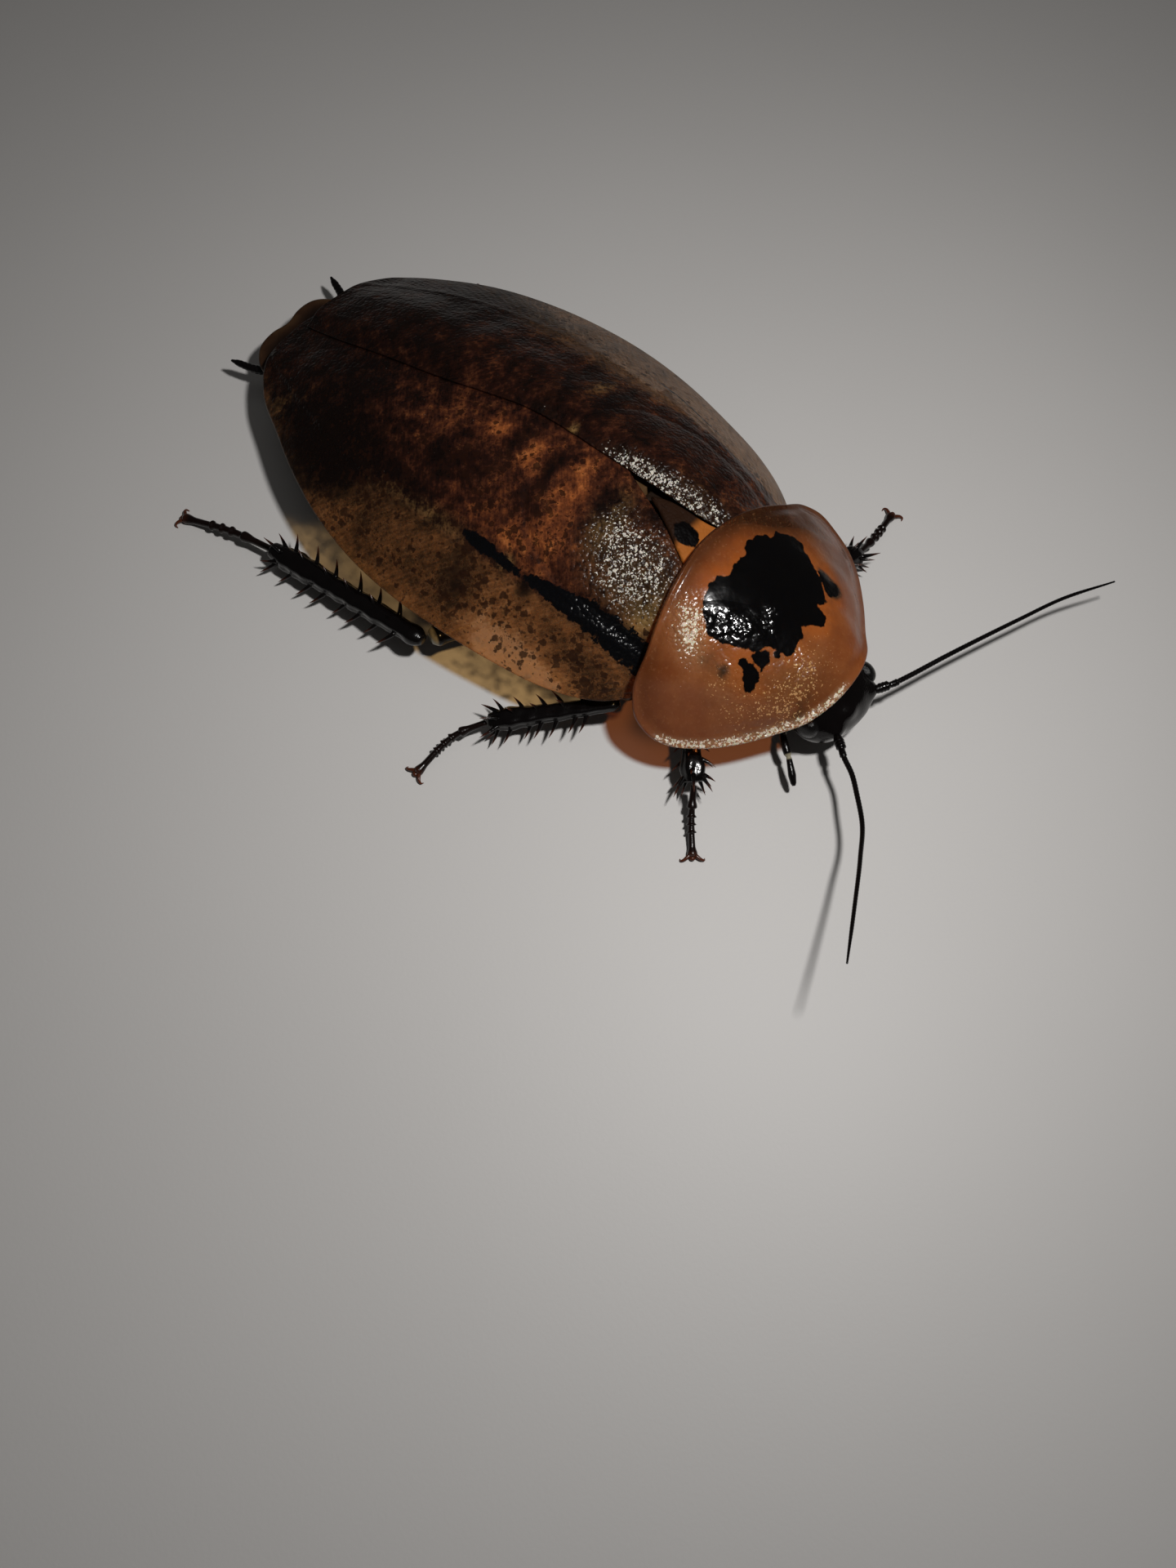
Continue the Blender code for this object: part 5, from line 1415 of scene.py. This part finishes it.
def build_rod(node, route, radii, count, rings, material, sides=20, flat=1.0, joints=()):
    """A ringed rod on a smooth route: each ring swells slowly and ends in a small step."""
    share = np.linspace(0, 1, count)
    path = curve(route, share)
    radius = np.interp(share, *np.array(radii, float).T)
    if rings:
        turn = share * rings % 1
        radius = radius * (0.9 + 0.13 * turn - 0.1 * ease(turn, 0.85, 0.15))
    body = closed(tube(path, radius, sides, radius * flat))
    near = np.zeros(count)
    for at, width in joints:
        near = np.maximum(near, 1 - np.clip(np.abs(share - at) / width, 0, 1))
    piece(node, body, material, {"joint": over_rings(near, sides, (0, 0))})


def between(a, b, shares):
    a, b = np.array(a, float), np.array(b, float)
    return a + (b - a) * np.reshape(shares, (-1, 1))


def build_coxa(name, hip, trochanter, size, material):
    share = np.linspace(0, 1, 70)
    swell = smooth(COXA_SWELL)(share)
    path = between(hip, trochanter, share)
    rings = tube(path, size[0] * swell, LEG_SIDES, size[1] * swell, roundness=0.9)
    middle = rings.mean(1, keepdims=True)
    angle = angles(LEG_SIDES)
    keel = 1 + 0.05 * bell(np.sin(angle), 0.25) * (np.cos(angle) > 0)
    body = closed(middle + (rings - middle) * keel[None, :, None])
    near = over_rings(ease(share, 0.9, 0.1), LEG_SIDES)
    piece(f"coxa_{name}", body, material, {"tip": 0.35 * near})


def femur_path(hip, trochanter, knee):
    """The thigh turns out of the end of the coxa on an arc and then runs straight to the knee."""
    along, out = unit(trochanter - hip), unit(knee - trochanter)
    aside = unit(out - along * along.dot(out))
    turn = np.linspace(0, math.acos(along.dot(out)), 12)[:, None]
    start = trochanter + along * (GAP + 0.12)
    bend = start + TROCHANTER_BEND * (np.sin(turn) * along + (1 - np.cos(turn)) * aside)
    end = knee - unit(knee - bend[-1]) * FEMUR_SHORT_OF_KNEE
    return np.concatenate([bend, between(bend[-1], end, np.linspace(0.02, 1, 80))])


def build_femur(name, hip, trochanter, knee, size, material):
    path = femur_path(hip, trochanter, knee)
    run = run_of(path)
    share = run / run[-1]
    swell = smooth(FEMUR_SWELL)(share)
    body = closed(tube(path, size[0] * swell, LEG_SIDES, size[1] * swell, roundness=0.92))
    paleness = 0.9 if name == "hind_right" else 0.4
    near = over_rings(ease(share, 0.955, 0.04), LEG_SIDES)
    piece(f"femur_{name}", body, material, {"joint": paleness * near})


def build_tibia(name, knee, ankle, size, rows, draw, material):
    """The shin: a ribbed, slightly lumpy tube with its spines and spurs, red-brown at their tips."""
    share = np.linspace(0, 1, 110)[:, None]
    path = between(knee, ankle - unit(ankle - knee) * 0.1, share)
    width = (np.interp(share, [0, 1], size) * smooth(TIBIA_SWELL)(share)).ravel()
    rings = tube(path, width, LEG_SIDES, width * 0.85)
    angle = angles(LEG_SIDES)
    lumps = ripple(np.cos(angle) * 1.2, share * np.linalg.norm(ankle - knee), 1.8, 61)
    ribs = 0.08 * np.cos(angle * 5 + 0.6) + 0.05 * lumps
    ribs = 1 + ribs * ease(share * 8) * ease((1 - share) * 10)
    middle = rings.mean(1, keepdims=True)
    shin = closed(middle + (rings - middle) * ribs[..., None])
    roots, tips, radii = spine_places(knee, ankle, size, rows, draw)
    bend = np.broadcast_to(unit(ankle - knee) * -0.12, roots.shape)
    bodies, near_tip = spikes(roots, tips, radii, bend)
    red = np.concatenate([np.zeros(len(shin[0])), 0.6 * ease(near_tip, 0.5, 0.5)])
    piece(f"tibia_{name}", joined([shin] + bodies), material, {"tip": red})


def spine_places(knee, ankle, size, rows, draw):
    """Roots, tips and root radii of a shin's spines, and of the spurs round its end."""
    ahead = unit(ankle - knee)
    inner = unit(np.cross(ahead, (0, 0, 1)))
    inner = inner if inner[0] * knee[0] < 0 else -inner
    rise = unit(np.array([0, 0, 1]) - ahead * ahead[2])
    spots = []
    for turn, count, first, last, length in rows:
        for share in np.linspace(first, last, count):
            turned, moved = turn + draw.uniform(-9, 9), share + draw.uniform(-0.02, 0.02)
            spots.append((turned, moved, length * draw.uniform(0.85, 1.1), SPINE_SLANT))
    for turn in SPUR_TURNS:
        turned = turn + draw.uniform(-8, 8)
        spots.append((turned, SPUR_PLACE, SPUR_LENGTH * draw.uniform(0.8, 1.1), SPUR_SLANT))
    turn, share, length, slant = np.array(spots).T
    angle = np.radians(turn)[:, None]
    out = np.cos(angle) * inner + np.sin(angle) * rise
    width = (size[0] + (size[1] - size[0]) * share)[:, None]
    skin = knee + (ankle - knee) * share[:, None] + out * width * 0.82
    aim = unit(out + ahead * slant[:, None])
    tips = skin + aim * length[:, None]
    tips[:, 2] = np.maximum(tips[:, 2], 0.3)
    radii = sizes().spine_radius / MM * (0.75 + 0.25 * length / 2)
    return skin - aim * 0.25, tips, radii


def build_tarsus(name, ankle, bend, toe, radius, material):
    """The foot: five segments that each widen to their end, two hooked claws and the pad between them."""
    lift = np.array([0, 0, radius * 0.8])
    start = ankle + unit(bend - ankle) * GAP * 0.8
    share = np.linspace(0, 1, 150)
    path = curve([start, bend + lift, toe + lift], share)
    parts = np.array(TARSUS_PARTS)
    index = np.clip(np.searchsorted(parts, share, side="right") - 1, 0, len(parts) - 2)
    local = (share - parts[index]) / (parts[index + 1] - parts[index])
    swell = 0.66 + 0.1 * local + 0.34 * ease(local, 0.55, 0.35)
    swell = swell * (1 - 0.42 * ease(local, 0.9, 0.1)) * np.where(share < 0.01, 0.8, 1)
    rings = tube(path, radius * swell, 28)
    rings[..., 2] = np.maximum(rings[..., 2], 0)
    foot = closed(rings)
    end, ahead = path[-1], unit((path[-1] - path[-3]) * (1, 1, 0))
    bodies, red = [foot], [over_rings(0.03 + 0.3 * ease(share, 0.9, 0.1), 28, (0, 0.4))]
    for side in (1, -1):
        across = np.cross(ahead, (0, 0, 1)) * side
        route = np.array([end + across * out + ahead * on for out, on in CLAW_WAY])
        route[:, 2] = [radius * 0.85, radius * 0.95, radius * 0.8, 0.24, 0.05]
        t = np.linspace(0, 1, 26)
        bodies.append(closed(tube(curve(route, t), 0.22 * (1 - 0.82 * t**1.6), 14)))
        red.append(over_rings(0.3 + 0.6 * t, 14, (0.3, 1)))
    t = np.linspace(0, 1, 16)
    way = between(end - ahead * 0.1, end + ahead * 0.42, t)
    way[:, 2] = radius * 0.75
    round_end = np.sqrt(np.clip(1 - (2 * t - 1) ** 2, 0.04, 1))
    pad = closed(tube(way, 0.3 * round_end, 18, 0.22 * round_end))
    bodies.append(pad)
    red.append(np.full(len(pad[0]), 0.55))
    piece(f"tarsus_{name}", joined(bodies), material, {"tip": np.concatenate(red)})


class ROACH_OT_pronotum(bpy.types.Operator):
    """Make the domed shield with its black mark"""

    bl_idname = "roach.pronotum"
    bl_label = "Pronotum"

    def execute(self, context):
        build_pronotum()
        return {"FINISHED"}


class ROACH_OT_wings(bpy.types.Operator):
    """Make the two folded wings with their veins"""

    bl_idname = "roach.wings"
    bl_label = "Wings"

    def execute(self, context):
        material = wing_material()
        build_wing("wing_left", 1, material)
        build_wing("wing_right", -1, material)
        return {"FINISHED"}


class ROACH_OT_trunk(bpy.types.Operator):
    """Make the thorax, the abdomen and the small plates of the back"""

    bl_idname = "roach.trunk"
    bl_label = "Trunk"

    def execute(self, context):
        material = belly_material()
        build_scutellum()
        build_tail_plate(material)
        build_trunk(material)
        return {"FINISHED"}


class ROACH_OT_head(bpy.types.Operator):
    """Make the head with its eyes and mouthparts"""

    bl_idname = "roach.head"
    bl_label = "Head"

    def execute(self, context):
        material = horn_material("head_horn", roughness=0.06)
        build_head(material)
        build_eyes()
        build_mouth(material)
        return {"FINISHED"}


class ROACH_OT_feelers(bpy.types.Operator):
    """Make the antennae, the palps and the cerci"""

    bl_idname = "roach.feelers"
    bl_label = "Feelers"

    def execute(self, context):
        material = horn_material("feeler_horn", roughness=0.14)
        rings = sizes().antenna_rings
        build_rod("antenna_right", ANTENNA_RIGHT, ANTENNA_RADII, rings * 5, rings, material)
        build_rod("antenna_left", ANTENNA_LEFT, ANTENNA_RADII, rings * 5, rings, material)
        palp_joints = ((0.66, 0.06), (0.315, 0.02))
        build_rod("palp_right", PALP_RIGHT, PALP_RADII, 120, 0, material, joints=palp_joints)
        build_rod("palp_left", PALP_LEFT, PALP_RADII, 120, 0, material, joints=palp_joints)
        for name, side in (("cercus_left", 1), ("cercus_right", -1)):
            route = np.array(CERCUS) * (side, 1, 1)
            build_rod(name, route, CERCUS_RADII, 140, CERCUS_RINGS, material, flat=0.8)
        return {"FINISHED"}


class ROACH_OT_legs(bpy.types.Operator):
    """Make the six legs with their spines and claws"""

    bl_idname = "roach.legs"
    bl_label = "Legs"

    def execute(self, context):
        material = horn_material("leg_horn", roughness=0.12)
        foot = horn_material("foot_horn", roughness=0.16)
        for number, (name, joints) in enumerate(LEGS.items()):
            pair = name.split("_")[0]
            size = LEG_SIZES[pair]
            hip, trochanter, knee, ankle, bend, toe = (np.array(joint, float) for joint in joints)
            draw = np.random.default_rng(number)
            build_coxa(name, hip, trochanter, size["coxa"], material)
            build_femur(name, hip, trochanter, knee, size["femur"], material)
            build_tibia(name, knee, ankle, size["tibia"], SPINE_ROWS[pair], draw, material)
            build_tarsus(name, ankle, bend, toe, size["tarsus"], foot)
        return {"FINISHED"}


class ROACH_OT_stage(bpy.types.Operator):
    """Lay the floor, hang the lamps and set up the camera"""

    bl_idname = "roach.stage"
    bl_label = "Stage"

    def execute(self, context):
        build_floor()
        build_lights()
        build_camera()
        return {"FINISHED"}


def build_floor():
    material, shader, where, _ = finish("paper")
    base = paint(colours().floor, noise(where, 40.0, 4.0), (0.63, 0.615, 0.60))
    dress(shader, base, 0.55, noise(where, 0.4, 3.0), 0.00001)
    mesh = bpy.data.meshes.new("floor")
    corners = [(x * FLOOR_REACH, y * FLOOR_REACH, 0) for x, y in ((-1, -1), (1, -1), (1, 1), (-1, 1))]
    mesh.from_pydata(corners, [], [(0, 1, 2, 3)])
    mesh.materials.append(material)
    floor = bpy.data.objects.new("floor", mesh)
    bpy.context.scene.collection.objects.link(floor)


def stand(thing, place, back, right):
    """Puts a lamp or the camera at a place, with its back and its right side turned as given."""
    turn = Matrix((right, np.cross(back, right), back)).transposed()
    thing.matrix_world = Matrix.LocRotScale(np.array(place, float) * MM, turn.to_quaternion(), None)
    bpy.context.scene.collection.objects.link(thing)


def lamp(name, place, aim, width, power, tint):
    """A round soft lamp at a place, aimed at another."""
    data = bpy.data.lights.new(name, "AREA")
    data.shape = "DISK"
    data.size = width * MM
    data.energy = power
    data.color = tint
    light = bpy.data.objects.new(name, data)
    back = unit(np.subtract(place, aim))
    stand(light, place, back, unit(np.cross((0, 1, 0), back)))
    return light


def build_lights():
    key = np.array(CAMERA_PLACE) + LAMP_OFFSET
    lamp("key_lamp", key, (-10, 36, 0), 10, 0.117, (1.0, 0.985, 0.97))
    lamp("sky_lamp", (40, 80, 420), (0, 20, 0), 300, 0.035, (1.0, 0.99, 0.96)).visible_glossy = False
    world = bpy.data.worlds.new("studio")
    bpy.context.scene.world = world
    world.use_nodes = True
    world.node_tree.nodes["Background"].inputs["Color"].default_value = (1.0, 0.98, 0.96, 1)
    world.node_tree.nodes["Background"].inputs["Strength"].default_value = 0.035


def build_camera():
    data = bpy.data.cameras.new("camera")
    data.sensor_width = 36.0
    data.lens = CAMERA_LENS
    data.clip_start = MM
    data.clip_end = 10.0
    camera = bpy.data.objects.new("camera", data)
    right = unit(CAMERA_RIGHT)
    stand(camera, CAMERA_PLACE, unit(np.cross(right, CAMERA_UP)), right)
    bpy.context.scene.camera = camera


class ROACH_PT_panel(bpy.types.Panel):
    """Lists the pieces, and the sizes and colours that they use"""

    bl_idname = "ROACH_PT_panel"
    bl_label = "Peppered Roach"
    bl_space_type = "VIEW_3D"
    bl_region_type = "UI"
    bl_category = "Roach"

    def draw(self, context):
        for operator in OPERATORS:
            self.layout.operator(operator.bl_idname)
        for group in (context.scene.roach_sizes, context.scene.roach_colours):
            for name in group.__annotations__:
                self.layout.prop(group, name)


OPERATORS = (
    ROACH_OT_pronotum, ROACH_OT_wings, ROACH_OT_trunk, ROACH_OT_head, ROACH_OT_feelers, ROACH_OT_legs,
    ROACH_OT_stage,
)
CLASSES = (RoachSizes, RoachColours, *OPERATORS, ROACH_PT_panel)


def register():
    for each in CLASSES:
        bpy.utils.register_class(each)
    bpy.types.Scene.roach_sizes = PointerProperty(type=RoachSizes)
    bpy.types.Scene.roach_colours = PointerProperty(type=RoachColours)


def unregister():
    del bpy.types.Scene.roach_colours
    del bpy.types.Scene.roach_sizes
    for each in reversed(CLASSES):
        bpy.utils.unregister_class(each)


def main():
    register()
    bpy.context.scene.view_settings.view_transform = "Standard"
    bpy.ops.roach.pronotum()
    bpy.ops.roach.wings()
    bpy.ops.roach.trunk()
    bpy.ops.roach.head()
    bpy.ops.roach.feelers()
    bpy.ops.roach.legs()
    bpy.ops.roach.stage()


if __name__ == "__main__":
    main()
